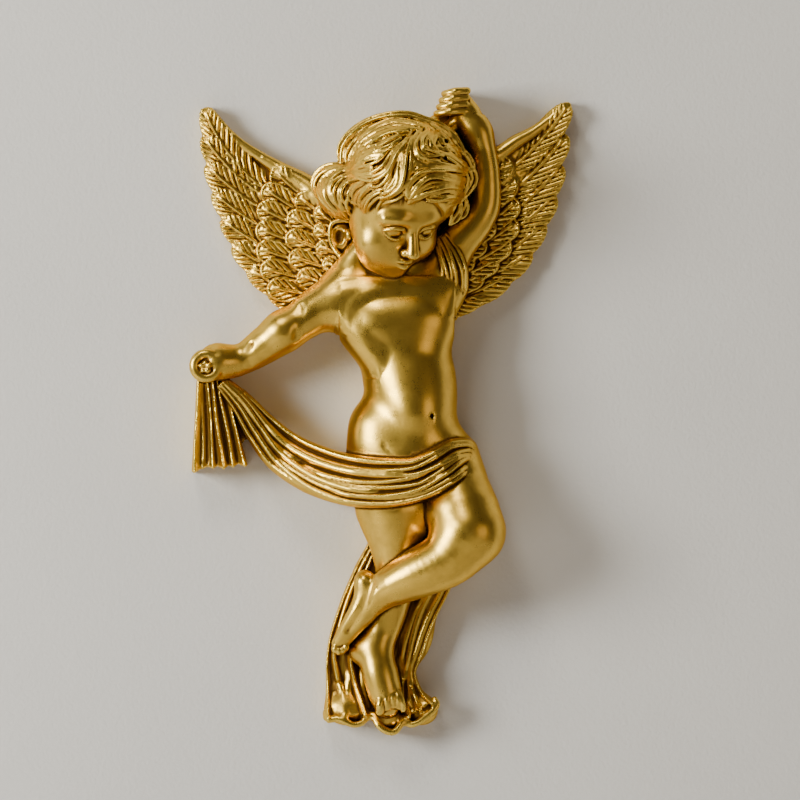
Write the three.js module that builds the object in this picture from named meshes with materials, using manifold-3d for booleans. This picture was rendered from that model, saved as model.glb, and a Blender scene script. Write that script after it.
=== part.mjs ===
// A winged cherub to hang on a wall, cast in one piece of resin with a flat back.
// Millimetres, +Z up, and the front faces -Y. The origin is the point of the back where the plaque hangs.
//
// The figure is modelled on a drawing grid, as a sculptor squares up a sketch. A place on the grid is
// [right, out, up] from the hanging point, with out measured from the wall towards the room.
// Every shape gives its distance from a point. The shapes are pressed together on a lattice of samples,
// the relief is swept back to the wall, and the lattice becomes one closed skin.
import * as THREE from "three";
import { mergeVertices } from "three/addons/utils/BufferGeometryUtils.js";
import Module from "manifold-3d";

// Driving sizes, in millimetres
const HEIGHT = 230; // from the hem below the foot to the top of the raised hand
const DEPTH = 52; // from the wall to the front of the head
const SAMPLE = 1.15; // the lattice's step
const TRIANGLES = 9400; // what the skin is thinned to
const CREASE = 0.5; // the fillet where two carved forms meet
const FEATHER_STEP = 1.3; // how far each row of feathers stands over the row below it

// The drawing grid
const GRID_HEIGHT = 650;
const GRID_DEPTH = 147;
const ACROSS = HEIGHT / GRID_HEIGHT; // millimetres to one square, right and up
const OUT = DEPTH / GRID_DEPTH; // millimetres to one square, out from the wall
const STEP = SAMPLE / ACROSS;
const FILLET = CREASE / ACROSS;
const LIFT = FEATHER_STEP / OUT;
const BEHIND = 9; // how far the lattice runs behind the wall's plane
const LOW = [-212, -BEHIND, -475];
const HIGH = [188, 160, 196];
const TAPER = 0.07; // how much the sides draw in towards the wall
const OPEN_CLOTH = 22; // the half width at which pleats stand at their full height
const HEM = 4; // how round a strip of cloth is at its edges

// Small maths
const clamp = (v, low, high) => Math.min(Math.max(v, low), high);
const mix = (a, b, t) => a + (b - a) * t;
const smooth = (t) => t * t * (3 - 2 * t);
const radians = THREE.MathUtils.degToRad;

/** The lesser of two distances, rounded where they are within `reach` of each other. */
function join(a, b, reach) {
  if (!(Math.abs(a - b) < reach)) return Math.min(a, b);
  return Math.min(a, b) - (reach - Math.abs(a - b)) ** 2 / (4 * reach);
}

/** The greater of two distances, rounded in the same way. */
const meet = (a, b, reach) => -join(-a, -b, reach);

/** Interpolates a row of numbers at `t`, from 0 at the first to 1 at the last. */
function along(values, t) {
  const place = clamp(t, 0, 1) * (values.length - 1);
  const i = Math.min(Math.floor(place), values.length - 2);
  return mix(values[i], values[i + 1], place - i);
}

/** A lattice of distances that shapes are pressed into. A sample that nothing has reached is infinitely far. */
class Clay {
  constructor() {
    this.size = LOW.map((low, i) => Math.ceil((HIGH[i] - low) / STEP) + 1);
    this.values = new Float32Array(this.size[0] * this.size[1] * this.size[2]).fill(Infinity);
  }

  at(i, j, k) {
    return (i * this.size[2] + k) * this.size[1] + j;
  }

  /** Calls visit(value index, x, y, z) for each sample in a box. */
  within(low, high, visit) {
    const from = low.map((v, i) => clamp(Math.floor((v - LOW[i]) / STEP), 0, this.size[i] - 1));
    const to = high.map((v, i) => clamp(Math.ceil((v - LOW[i]) / STEP), 0, this.size[i] - 1));
    for (let i = from[0]; i <= to[0]; i++)
      for (let k = from[2]; k <= to[2]; k++)
        for (let j = from[1]; j <= to[1]; j++)
          visit(this.at(i, j, k), LOW[0] + i * STEP, LOW[1] + j * STEP, LOW[2] + k * STEP);
  }

  /** Adds a shape, with a fillet of about `reach` where it meets what is there. */
  press(shape, reach = FILLET) {
    const room = reach + 2 * STEP;
    const low = shape.low.map((v) => v - room);
    const high = shape.high.map((v) => v + room);
    this.within(low, high, (n, x, y, z) => {
      this.values[n] = join(this.values[n], shape.distance(x, y, z), reach);
    });
    return this;
  }

  /** Cuts a shape away. */
  cut(shape, reach = FILLET) {
    const room = reach + 2 * STEP;
    const low = shape.low.map((v) => v - room);
    const high = shape.high.map((v) => v + room);
    this.within(low, high, (n, x, y, z) => {
      this.values[n] = meet(this.values[n], -shape.distance(x, y, z), reach);
    });
    return this;
  }

  /** Adds another lattice of clay, which keeps its own edges. */
  add(other, reach = FILLET) {
    for (let n = 0; n < this.values.length; n++)
      this.values[n] = join(this.values[n], other.values[n], reach);
    return this;
  }

  /** Fills everything behind the relief, drawn in by the taper, and closes it behind the wall's plane. */
  sweepBack() {
    const [nx, ny, nz] = this.size;
    for (let i = 0; i < nx; i++)
      for (let k = 0; k < nz; k++)
        for (let j = ny - 2; j >= 0; j--) {
          const n = this.at(i, j, k);
          this.values[n] = Math.min(this.values[n], this.values[n + 1] + TAPER * STEP);
        }
    const closed = LOW[1] + 1.5 * STEP;
    this.within(LOW, [HIGH[0], closed + STEP, HIGH[2]], (n, x, y) => {
      this.values[n] = Math.max(this.values[n], closed - y);
    });
    return this;
  }
}

/** The corners of a lattice cell, in the order of their bits, and the pairs that lie across a face or the cell. */
const CORNERS = Array.from({ length: 8 }, (_, a) => [a & 1, (a >> 1) & 1, (a >> 2) & 1]);
const FACES = [1, 2, 4].flatMap((axis) => {
  const [b, c] = [1, 2, 4].filter((bit) => bit !== axis);
  return [[0, b, c, b + c], [axis, axis + b, axis + c, axis + b + c]];
});

/** Fills the bubbles: the air that can't be reached from outside. */
function fillBubbles(clay) {
  const [nx, ny, nz] = clay.size;
  const f = clay.values;
  const reached = new Uint8Array(f.length);
  const open = [0];
  reached[0] = 1;
  while (open.length) {
    const n = open.pop();
    const j = n % ny;
    const k = Math.floor(n / ny) % nz;
    const i = Math.floor(n / (ny * nz));
    for (const [a, b, c] of [[i - 1, j, k], [i + 1, j, k], [i, j - 1, k], [i, j + 1, k], [i, j, k - 1], [i, j, k + 1]]) {
      if (a < 0 || b < 0 || c < 0 || a >= nx || b >= ny || c >= nz) continue;
      const next = clay.at(a, b, c);
      if (reached[next] || f[next] < 0) continue;
      reached[next] = 1;
      open.push(next);
    }
  }
  for (let n = 0; n < f.length; n++) if (!reached[n]) f[n] = Math.min(f[n], -STEP / 2);
}

/** Fills samples until no two sheets of the skin touch along a line or at a point. */
function settle(clay) {
  const [nx, ny, nz] = clay.size;
  const f = clay.values;
  const offsets = CORNERS.map(([x, y, z]) => clay.at(x, y, z));
  const fill = (n) => (f[n] = -0.05 * STEP);
  let changed = true;
  while (changed) {
    changed = false;
    for (let i = 0; i < nx - 1; i++)
      for (let k = 0; k < nz - 1; k++)
        for (let j = 0; j < ny - 1; j++) {
          const n = clay.at(i, j, k);
          const inside = offsets.map((o) => f[n + o] < 0);
          const count = inside.filter(Boolean).length;
          if (count < 2 || count > 6) continue;
          for (const [a, b, c, d] of FACES) {
            if (inside[a] !== inside[d] || inside[b] !== inside[c] || inside[a] === inside[b]) continue;
            fill(n + offsets[inside[a] ? b : a]);
            changed = true;
          }
          for (let a = 0; a < 4; a++) {
            if (count === 2 && inside[a] && inside[7 - a]) fill(n + offsets[a ^ 1]);
            else if (count === 6 && !inside[a] && !inside[7 - a]) fill(n + offsets[a]);
            else continue;
            changed = true;
          }
        }
  }
}

/** The box of a list of [x, y, z, radius]. */
function boxOf(places) {
  const low = [0, 1, 2].map((i) => Math.min(...places.map((p) => p[i] - p[3])));
  const high = [0, 1, 2].map((i) => Math.max(...places.map((p) => p[i] + p[3])));
  return { low, high };
}

/** An ellipsoid. Its distance is the usual first-order one. */
function ball(centre, radii) {
  const [a, b, c] = radii;
  const distance = (x, y, z) => {
    const p = [x - centre[0], y - centre[1], z - centre[2]];
    const near = Math.hypot(p[0] / a, p[1] / b, p[2] / c);
    const steep = Math.hypot(p[0] / (a * a), p[1] / (b * b), p[2] / (c * c));
    return steep < 1e-9 ? -Math.min(a, b, c) : (near * (near - 1)) / steep;
  };
  return {
    low: centre.map((v, i) => v - radii[i]),
    high: centre.map((v, i) => v + radii[i]),
    distance,
  };
}

/** A rounded limb through stations of [right, out, up, radius], on a smooth curve. */
function limb(stations, stepsPerSpan = 5) {
  const curve = new THREE.CatmullRomCurve3(
    stations.map((s) => new THREE.Vector3(s[0], s[1], s[2])),
    false,
    "centripetal",
  );
  const radii = stations.map((s) => s[3]);
  const count = (stations.length - 1) * stepsPerSpan;
  const places = Array.from({ length: count + 1 }, (_, i) => {
    const p = curve.getPoint(i / count);
    return [p.x, p.y, p.z, along(radii, i / count)];
  });
  const distance = (x, y, z) => {
    let least = Infinity;
    for (let i = 0; i < count; i++) {
      const [a, b] = [places[i], places[i + 1]];
      const [ux, uy, uz] = [b[0] - a[0], b[1] - a[1], b[2] - a[2]];
      const [px, py, pz] = [x - a[0], y - a[1], z - a[2]];
      const t = clamp((px * ux + py * uy + pz * uz) / (ux * ux + uy * uy + uz * uz), 0, 1);
      const d = Math.hypot(px - t * ux, py - t * uy, pz - t * uz) - mix(a[3], b[3], t);
      if (d < least) least = d;
    }
    return least;
  };
  return { ...boxOf(places), distance };
}

/** A shape seen in a frame that is turned and placed, such as the head's. */
function placed(shape, frame) {
  const corners = [];
  for (const x of [shape.low[0], shape.high[0]])
    for (const y of [shape.low[1], shape.high[1]])
      for (const z of [shape.low[2], shape.high[2]])
        corners.push(new THREE.Vector3(x, y, z).applyMatrix4(frame));
  const box = new THREE.Box3().setFromPoints(corners);
  const back = frame.clone().invert();
  const p = new THREE.Vector3();
  return {
    low: box.min.toArray(),
    high: box.max.toArray(),
    distance: (x, y, z) => {
      p.set(x, y, z).applyMatrix4(back);
      return shape.distance(p.x, p.y, p.z);
    },
  };
}

/**
 * Low relief over the wall: surface(x, z) gives [how far out its face stands, distance from its outline].
 */
function relief(low, high, surface, edge) {
  const distance = (x, y, z) => {
    const [out, outline] = surface(x, z);
    return meet(y - out, outline, edge);
  };
  return { low, high, distance };
}

/**
 * A strip of cloth laid along a curve of [right, up, half width, out] stations, with pleats along it.
 * Each pleat is a ridge that wanders a little across the strip, and is shallower where the cloth is gathered.
 */
function strip(stations, pleats, pleatHeight, crown = 6) {
  const curve = new THREE.CatmullRomCurve3(
    stations.map((s) => new THREE.Vector3(s[0], 0, s[1])),
    false,
    "centripetal",
  );
  const halves = stations.map((s) => s[2]);
  const outs = stations.map((s) => s[3]);
  const count = (stations.length - 1) * 8;
  const spine = Array.from({ length: count + 1 }, (_, i) => curve.getPoint(i / count));
  const ridge = 0.75 / pleats;
  const surface = (x, z) => {
    let best = { gap: Infinity };
    for (let i = 0; i < count; i++) {
      const [ux, uz] = [spine[i + 1].x - spine[i].x, spine[i + 1].z - spine[i].z];
      const [px, pz] = [x - spine[i].x, z - spine[i].z];
      const length = Math.hypot(ux, uz);
      const t = clamp((px * ux + pz * uz) / (length * length), 0, 1);
      const gap = Math.hypot(px - t * ux, pz - t * uz);
      const side = (px * uz - pz * ux) / length;
      const run = (px * ux + pz * uz) / length;
      const beyond = i === 0 ? -run : i === count - 1 ? run - length : -Infinity;
      if (gap < best.gap) best = { gap, side, t: (i + t) / count, beyond };
    }
    const half = along(halves, best.t);
    const s = best.side / half;
    let fold = 0;
    for (let i = 0; i < pleats; i++) {
      const home = ((i + 0.5) / pleats) * 2 - 1;
      const wander = 0.5 * ridge * Math.sin(5 * best.t + 2.3 * i);
      fold = Math.max(fold, 1 - Math.min(Math.abs(s - home - wander) / ridge, 1));
    }
    const round = Math.sqrt(Math.max(1 - s * s, 0));
    const gathered = Math.min(half / OPEN_CLOTH, 1) ** 2;
    const out = along(outs, best.t) + crown * round + gathered * pleatHeight * smooth(fold);
    return [out, Math.max(Math.abs(best.side) - half, best.beyond)];
  };
  const flat = stations.map((s) => [s[0], s[3], s[1], s[2]]);
  const { low, high } = boxOf(flat);
  low[1] = 0;
  high[1] = Math.max(...outs) + crown + pleatHeight + 2;
  return relief(low, high, surface, HEM);
}

/**
 * One feather: a leaf, arched across, with a raised quill, lying on a row `out` from the wall.
 * `bend` is how far the quill has swung at the root, and `point` how many half widths the tip takes to widen.
 */
function feather({ tip, angle, length, width, out, bend, point }) {
  const [c, s] = [Math.cos(angle), Math.sin(angle)];
  const half = width / 2;
  const surface = (x, z) => {
    const [px, pz] = [x - tip[0], z - tip[1]];
    const u = -(px * c + pz * s); // down the quill from the tip
    const v = px * s - pz * c - bend * (Math.max(u, 0) / length) ** 2;
    const long = point * half;
    const outline = u < long ? Math.hypot((long - u) / point, v) - half : Math.abs(v) - half;
    const arch = 1 - Math.min((v / half) ** 2, 1);
    const quill = Math.max(1 - Math.abs(v) / 2.2, 0);
    return [
      out + 3 * arch + 2 * quill + 2.3 * (v / half) - 3 * smooth(clamp(1 - (2 * u) / half, 0, 1)),
      Math.max(outline, u - length),
    ];
  };
  const base = [tip[0] - length * c, tip[1] - length * s];
  const room = half + Math.abs(bend);
  const box = boxOf([
    [tip[0], 0, tip[1], room],
    [base[0], 0, base[1], room],
  ]);
  box.low[1] = 0;
  box.high[1] = out + 9;
  return relief(box.low, box.high, surface, 1);
}

/**
 * A wing: a smooth bone along its upper edge with a web under it, and rows of feathers whose tips follow curves.
 * A row is { tips, count, angles, lengths, widths, outs, bends, points }. Side 1 points right, and -1 left.
 */
function wing(clay, side, bone, rows) {
  rows.forEach((row, level) => {
    const curve = new THREE.CatmullRomCurve3(
      row.tips.map((p) => new THREE.Vector3(p[0], 0, p[1])),
      false,
      "centripetal",
    );
    for (let i = row.count - 1; i >= 0; i--) {
      const t = i / (row.count - 1);
      const tip = curve.getPointAt(t);
      const up = radians(along(row.angles, t));
      const angle = side > 0 ? up : Math.PI - up;
      clay.press(
        feather({
          tip: [tip.x, tip.z],
          angle,
          length: along(row.lengths, t),
          width: along(row.widths, t),
          out: along(row.outs, t) + level * LIFT,
          bend: -side * along(row.bends, t),
          point: along(row.points, t),
        }),
      );
    }
  });
  const web = bone.map(([x, y, z, r]) => [x, y - 12, z - 9, r + 1]);
  clay.press(limb(web), 3);
  clay.press(limb(bone), 3);
}

// The figure, part by part
const wings = new Clay();
wing(
  wings,
  -1,
  [
    [-56, 26, 60, 14],
    [-76, 24, 74, 13],
    [-92, 22, 87, 10],
    [-112, 20, 99, 7.5],
    [-134, 18, 112.5, 5.5],
    [-153, 17, 126, 4.5],
    [-168, 16, 141, 3.5],
    [-183, 15, 159, 3],
  ],
  [
    {
      tips: [[-191, 164], [-191, 118], [-177, 60], [-156, 12], [-108, -40]],
      count: 9,
      angles: [72, 50, 40, 34, 26, 16],
      lengths: [102, 92, 80, 62, 44],
      widths: [31, 37, 34, 32, 28],
      outs: [17, 17, 17, 18],
      bends: [34, 12, 6, 4],
      points: [3.4, 2.6, 2.2, 2],
    },
    {
      tips: [[-122, 102], [-134, 80], [-139, 42], [-137, 12], [-128, -16]],
      count: 7,
      angles: [48, 30, 22, 14],
      lengths: [44, 50, 44],
      widths: [26, 27, 25],
      outs: [20, 20],
      bends: [4, 2],
      points: [1.2, 1.2],
    },
    {
      tips: [[-98, 76], [-107, 56], [-108, 22], [-98, -4]],
      count: 5,
      angles: [44, 24, 18],
      lengths: [34, 38, 34],
      widths: [24, 24],
      outs: [22, 22],
      bends: [3, 2],
      points: [1.15, 1.15],
    },
    {
      tips: [[-80, 62], [-81, 44], [-79, 26]],
      count: 3,
      angles: [40, 18],
      lengths: [22, 22],
      widths: [18, 18],
      outs: [24, 24],
      bends: [0, 0],
      points: [1.1, 1.1],
    },
  ],
);
wing(
  wings,
  1,
  [
    [70, 26, 94, 14],
    [88, 24, 106, 10],
    [104, 22, 116, 7.5],
    [120, 20, 127.5, 7],
    [138, 18, 138, 5.5],
    [154, 16, 150.5, 4],
    [166, 15, 161, 3.5],
    [173, 15, 165, 3],
  ],
  [
    {
      tips: [[174, 167], [170, 122], [156, 62], [128, 8], [66, -38]],
      count: 9,
      angles: [58, 52, 44, 36, 28, 18],
      lengths: [98, 88, 72, 54, 36],
      widths: [28, 36, 34, 32, 28],
      outs: [17, 17, 17, 18],
      bends: [18, 8, 4, 3],
      points: [1.7, 1.9, 1.9, 1.9],
    },
    {
      tips: [[114, 112], [122, 78], [120, 40], [98, 6], [72, -16]],
      count: 8,
      angles: [50, 42, 32, 24],
      lengths: [36, 38, 32],
      widths: [27, 26, 24],
      outs: [20, 20, 21],
      bends: [3, 2],
      points: [1.15, 1.15],
    },
    {
      tips: [[98, 88], [102, 60], [90, 30], [66, -2]],
      count: 6,
      angles: [46, 40, 30],
      lengths: [28, 28],
      widths: [24, 22],
      outs: [22, 22],
      bends: [2, 2],
      points: [1.1, 1.1],
    },
  ],
);

// Low webs close the hollows between the wings, the head and the arm
wings
  .press(ball([-48, 18, 34], [36, 12, 46]), 6)
  .press(ball([-64, 18, 10], [18, 10, 18]), 6)
  .press(ball([62, 14, 60], [34, 10, 74]), 6)
  .press(ball([-40, 26, 84], [34, 26, 28]), 6)
  .press(ball([50, 20, 132], [24, 16, 26]), 6)
  .press(ball([-4, 22, 120], [44, 20, 34]), 6)
  .press(ball([106, 14, 92], [24, 12, 24]), 6);

const torso = new Clay();
torso
  .press(ball([2, 38, -56], [54, 44, 46]))
  .press(ball([13, 41, -102], [46, 44, 48]), 16)
  .press(ball([21, 44, -142], [39, 47, 42]), 26)
  .press(ball([16, 40, -184], [64, 46, 42]), 16)
  .press(ball([-10, 42, -160], [37, 37, 38]), 12)
  .press(ball([-24, 57, -50], [29, 20, 25]), 20)
  .press(ball([30, 56, -48], [28, 20, 25]), 20)
  .press(limb([[-54, 44, -34, 26], [-30, 46, -20, 24], [0, 44, -16, 24], [30, 44, -16, 24], [48, 42, -18, 24]]), 22)
  .press(limb([[0, 38, -20, 28], [4, 44, 14, 26]]), 12)
  .press(limb([[-46, 50, -44, 13], [-34, 56, -60, 14], [-24, 62, -80, 14], [-12, 64, -94, 12]]), 16)
  .cut(ball([37, 92, -146], [3, 5, 4]), 3);

const heldArm = new Clay();
heldArm
  .press(
    limb([
      [-52, 46, -28, 25],
      [-74, 48, -38, 23],
      [-96, 50, -53, 20],
      [-110, 50, -62, 21],
      [-128, 48, -74, 19],
      [-146, 46, -86, 16],
      [-156, 46, -91, 15],
    ]),
  )
  .press(ball([-112, 54, -60], [18, 18, 17]), 10)
  .press(ball([-176, 46, -92], [21, 22, 19]), 10);
const ring = Array.from({ length: 9 }, (_, i) => {
  const turn = radians(40 + i * 40);
  return [-188 + 12 * Math.cos(turn), 62, -96 + 12 * Math.sin(turn), 5];
});
heldArm.press(limb(ring, 3), 3).press(ball([-189, 60, -97], [7, 8, 7]));

const raisedArm = new Clay();
raisedArm
  .press(
    limb([
      [44, 38, -4, 24],
      [62, 42, 26, 20],
      [80, 46, 46, 17],
      [90, 48, 64, 15],
      [92, 50, 90, 13],
      [89, 50, 116, 12.5],
      [82, 50, 138, 13],
    ]),
  )
  .press(limb([[83, 50, 136, 12], [72, 50, 154, 14], [62, 48, 168, 13]]), 12);
for (let finger = 0; finger < 4; finger++) {
  const up = 178 - finger * 6.6;
  const reach = 2.6 * finger;
  raisedArm.press(
    limb([
      [72 - reach * 0.3, 61, up, 3.8],
      [60 - reach * 0.6, 68, up - 1, 4.2],
      [50 - reach, 61, up - 3, 3.8],
    ], 3),
    1,
  );
}
raisedArm.press(limb([[62, 50, 148, 7], [52, 48, 140, 7], [44, 46, 134, 6]]), 3);

const standingLeg = new Clay();
standingLeg
  .press(
    limb([
      [-6, 42, -196, 38],
      [-3, 44, -236, 37],
      [1, 44, -268, 28],
      [2, 42, -296, 22],
      [-4, 38, -330, 19],
      [-13, 34, -358, 18],
      [-20, 34, -376, 17],
    ]),
  )
  .press(ball([22, 46, -232], [22, 24, 36]), 10)
  .press(ball([-34, 30, -380], [12, 14, 14]), 8)
  .press(limb([[-20, 36, -378, 17], [-15, 40, -402, 18], [-10, 40, -422, 17], [-8, 36, -434, 13]]), 8);
for (let toe = 0; toe < 5; toe++) {
  const right = -15 + toe * 5.8;
  const up = -438 + toe * 0.8;
  standingLeg.press(
    limb([[right * 0.8 - 2, 50, up + 15, 3.6], [right, 54, up + 4, 3.8], [right, 49, up - 2, 4.4 - toe * 0.3]], 3),
    1,
  );
}

const crossedLeg = new Clay();
crossedLeg
  .press(
    limb([
      [52, 44, -192, 34],
      [62, 56, -220, 33],
      [68, 66, -243, 37],
      [73, 72, -260, 37],
    ]),
  )
  .press(
    limb([
      [73, 74, -262, 35],
      [54, 76, -286, 29],
      [24, 72, -302, 25],
      [2, 66, -313, 21],
      [-16, 60, -324, 15],
    ]),
    6,
  )
  .press(ball([-30, 54, -311], [11, 15, 12]), 6)
  .press(ball([-13, 66, -308], [7, 9, 7]), 5)
  .press(limb([[-18, 58, -324, 15], [-32, 54, -342, 13], [-44, 48, -358, 10], [-55, 42, -376, 6]]), 8)
  .press(limb([[-31, 60, -312, 8], [-36, 59, -332, 6.5], [-46, 54, -352, 6], [-58, 46, -372, 5]]), 5);

const cloth = new Clay();
const sash = [
  [-173, -112, 7, 44],
  [-152, -134, 12, 40],
  [-134, -158, 17, 38],
  [-112, -181, 22, 42],
  [-81, -199, 25, 58],
  [-43, -210, 26, 76],
  [-7, -212, 25, 86],
  [23, -208, 22, 90],
  [48, -196, 21, 88],
  [63, -187, 20, 76],
  [74, -184, 16, 62],
  [81, -185, 9, 42],
];
const tail = [[-184, -110, 14, 40], [-180, -150, 20, 36], [-175, -198, 28, 34]];
const scarf = [[44, 34, 8, 54], [53, 16, 12, 60], [59, -2, 14, 60], [60, -20, 13, 52], [57, -38, 6, 36]];
const nearDrape = [
  [-13, -268, 10, 24],
  [-28, -301, 13, 22],
  [-44, -340, 13, 20],
  [-54, -380, 14, 20],
  [-52, -412, 17, 18],
  [-48, -446, 22, 22],
];
const farDrape = [
  [54, -302, 9, 30],
  [41, -322, 12, 26],
  [28, -346, 13, 24],
  [17, -378, 13, 22],
  [11, -402, 10, 20],
  [15, -424, 13, 22],
  [24, -440, 17, 26],
];
const backCloth = [[-8, -330, 26, 12], [-16, -390, 35, 12], [-14, -446, 40, 14]];
cloth
  .press(strip(sash, 4, 8, 7))
  .press(strip(tail, 4, 8, 3))
  .press(strip(scarf, 3, 6, 4))
  .press(strip(nearDrape, 3, 7, 3))
  .press(strip(farDrape, 2, 6, 3))
  .press(strip(backCloth, 5, 4, 2))
  .press(ball([-48, 12, -438], [22, 20, 17]), 5)
  .press(ball([-7, 16, -446], [16, 20, 15]), 5)
  .press(ball([26, 14, -440], [17, 20, 15]), 5)
  .press(limb([[-66, 28, -446, 4], [-58, 32, -448, 4], [-41, 33, -453, 4], [-30, 30, -449, 4]]), 6)
  .press(limb([[-20, 32, -448, 4], [-9, 36, -459, 4], [0, 36, -460, 4], [7, 33, -450, 4]]), 6)
  .press(limb([[12, 31, -451, 4], [24, 34, -450, 4], [38, 34, -440, 4], [41, 32, -430, 4]]), 6)
  .press(ball([34, 16, -248], [20, 14, 40]), 3)
  .press(ball([-153, 18, -146], [9, 14, 26]), 3)
  .press(ball([14, 14, -350], [26, 10, 46]), 3)
  .press(limb([[-70, 26, 62, 8], [-63, 28, 40, 8], [-54, 34, 20, 9]]), 6);

// The head leans over the chest: bowed, turned to the right and tilted
const headFrame = new THREE.Matrix4()
  .makeTranslation(-3, 76, 67)
  .multiply(new THREE.Matrix4().makeRotationY(radians(-3)))
  .multiply(new THREE.Matrix4().makeRotationZ(radians(-31)))
  .multiply(new THREE.Matrix4().makeRotationX(radians(-34)));

const head = new Clay();
const onHead = (shape) => placed(shape, headFrame);
head
  .press(ball([10.5, 77, 90], [54, 57, 54]))
  .press(onHead(ball([0, 6, -8], [45, 43, 44])), 12)
  .press(onHead(ball([0, 14, -32], [37, 31, 28])), 12)
  .press(onHead(ball([0, 33, -55], [14, 12, 11])), 10)
  .press(onHead(ball([0, 40, -40], [14, 11, 12])), 8)
  .press(onHead(limb([[-28, 38, 5, 5], [-15, 45.5, 8, 5.5], [0, 45, 6, 5], [15, 45.5, 8, 5.5], [28, 38, 5, 5]])), 9);
for (const side of [-1, 1])
  head
    .press(onHead(ball([22 * side, 26, -30], [20, 19, 18])), 12)
    .cut(onHead(ball([18.5 * side, 56.5, -5], [12, 12, 7])), 5)
    .press(onHead(ball([18 * side, 40, -6], [9.5, 9, 7])), 2);
head
  .press(onHead(limb([[0, 45, 1, 4.5], [0, 50, -8, 4.8], [0, 55, -17, 5.6], [0, 58, -23, 6.3]])), 5)
  .press(onHead(limb([[-8, 54, -26, 4], [0, 60, -24.5, 6], [8, 54, -26, 4]])), 2)
  .press(onHead(limb([[-8, 48, -40, 2.6], [0, 52, -38.4, 2.8], [8, 48, -40, 2.6]])), 2)
  .press(onHead(limb([[-7, 47, -44.5, 2.6], [0, 50.6, -46, 3.3], [7, 47, -44.5, 2.6]])), 2)
  .press(ball([-15, 77, 14], [20, 21, 17]), 10)
  .press(ball([-54, 38, 33], [13, 11, 17]), 3)
  .press(limb([[-50, 48, 49, 3], [-63, 47, 44, 3], [-64, 46, 28, 3], [-56, 48, 15, 3]]), 2)
  .cut(ball([-55, 52, 32], [6, 9, 10]), 2);

/** The hair's cap, and the mass of curls over the near ear, each as [centre, radii]. */
const HAIR = [
  [[10.75, 77.6, 91], [58, 60, 57]],
  [[-48, 64, 77], [30, 32, 28]],
];

/** How far out the hair stands at [x, z], the cap or the curls, whichever is further. */
function hairFront(x, z) {
  const [cap, curls] = HAIR.map(([centre, radii]) => {
    const inside = 1 - ((x - centre[0]) / radii[0]) ** 2 - ((z - centre[2]) / radii[2]) ** 2;
    return centre[1] + radii[1] * Math.sqrt(Math.max(inside, 0)) - 14 * Math.max(-inside, 0);
  });
  return meet(cap, curls, 14);
}

/** A lock of hair: its line as the front shows it, laid on the hair and `lift` above it, thick in the middle. */
function lock(line, radius, lift) {
  return limb(
    line.map(([x, z], i) => {
      const width = Math.sin(Math.PI * mix(0.14, 0.92, i / (line.length - 1))) ** 0.7;
      return [x, hairFront(x, z) + lift + 0.15 * radius, z, radius * width];
    }),
    3,
  );
}
const hair = new Clay();
hair
  .press(ball(...HAIR[0]))
  .press(ball(...HAIR[1]), 10)
  .cut(ball([19, 150, 27], [45, 95, 45]), 4);
const locks = [
  // Over the top, from the whorl to the left
  [[[34, 146], [13, 151], [-10, 149], [-28, 143], [-43, 133], [-52, 121], [-54, 106]], 6, 1],
  [[[27, 140], [2, 145], [-19, 138], [-35, 126], [-44, 113], [-46, 102]], 6, 3],
  [[[5, 131], [-10, 122], [-21, 117], [-33, 113], [-41, 102]], 6, 4],
  [[[20, 150], [40, 142], [56, 130], [66, 116]], 6, 1],
  // The big curls on the left
  [[[-36, 102], [-54, 101], [-67, 98], [-75, 91], [-78, 82], [-74, 72], [-66, 63]], 6, 0],
  [[[-18, 92], [-32, 91], [-46, 88], [-54, 80], [-55, 70], [-48, 61], [-38, 56]], 6, 3],
  [[[-20, 86], [-31, 79], [-38, 70], [-36, 60], [-28, 57]], 5, 4],
  // The forelock, in an S, and the lock beside it
  [[[11, 126], [0, 113], [-7, 99], [-21, 90], [-35, 91], [-44, 97]], 6, 4],
  [[[14, 129], [10, 113], [8, 95], [4, 83], [-5, 75], [-15, 70]], 6, 5],
  // The fan right of the whorl
  [[[25, 136], [20, 124], [22, 113], [32, 106], [45, 106]], 6, 4],
  [[[42, 136], [36, 130], [36, 122], [43, 117]], 5, 5],
  // The fringe from the right
  [[[72, 97], [54, 99], [36, 99], [23, 97], [13, 87], [11, 75]], 6, 3],
  [[[68, 84], [54, 87], [37, 86], [26, 81], [18, 72]], 5.5, 3],
  // The far side, under the raised arm
  [[[45, 113], [59, 108], [69, 101], [75, 90], [70, 78], [64, 66]], 6, 0],
  [[[31, 145], [42, 138], [54, 129], [64, 118], [70, 108]], 6, 1],
  [[[66, 72], [65, 62], [62, 53], [57, 46]], 5, -4],
];
for (const [line, radius, lift] of locks) hair.press(lock(line, radius, lift), 1);

const figure = new Clay();
figure
  .add(wings)
  .add(torso)
  .add(standingLeg)
  .add(crossedLeg)
  .add(raisedArm, 6)
  .add(heldArm, 8)
  .add(cloth)
  .add(head, 2)
  .add(hair, 1)
  .sweepBack();

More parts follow.
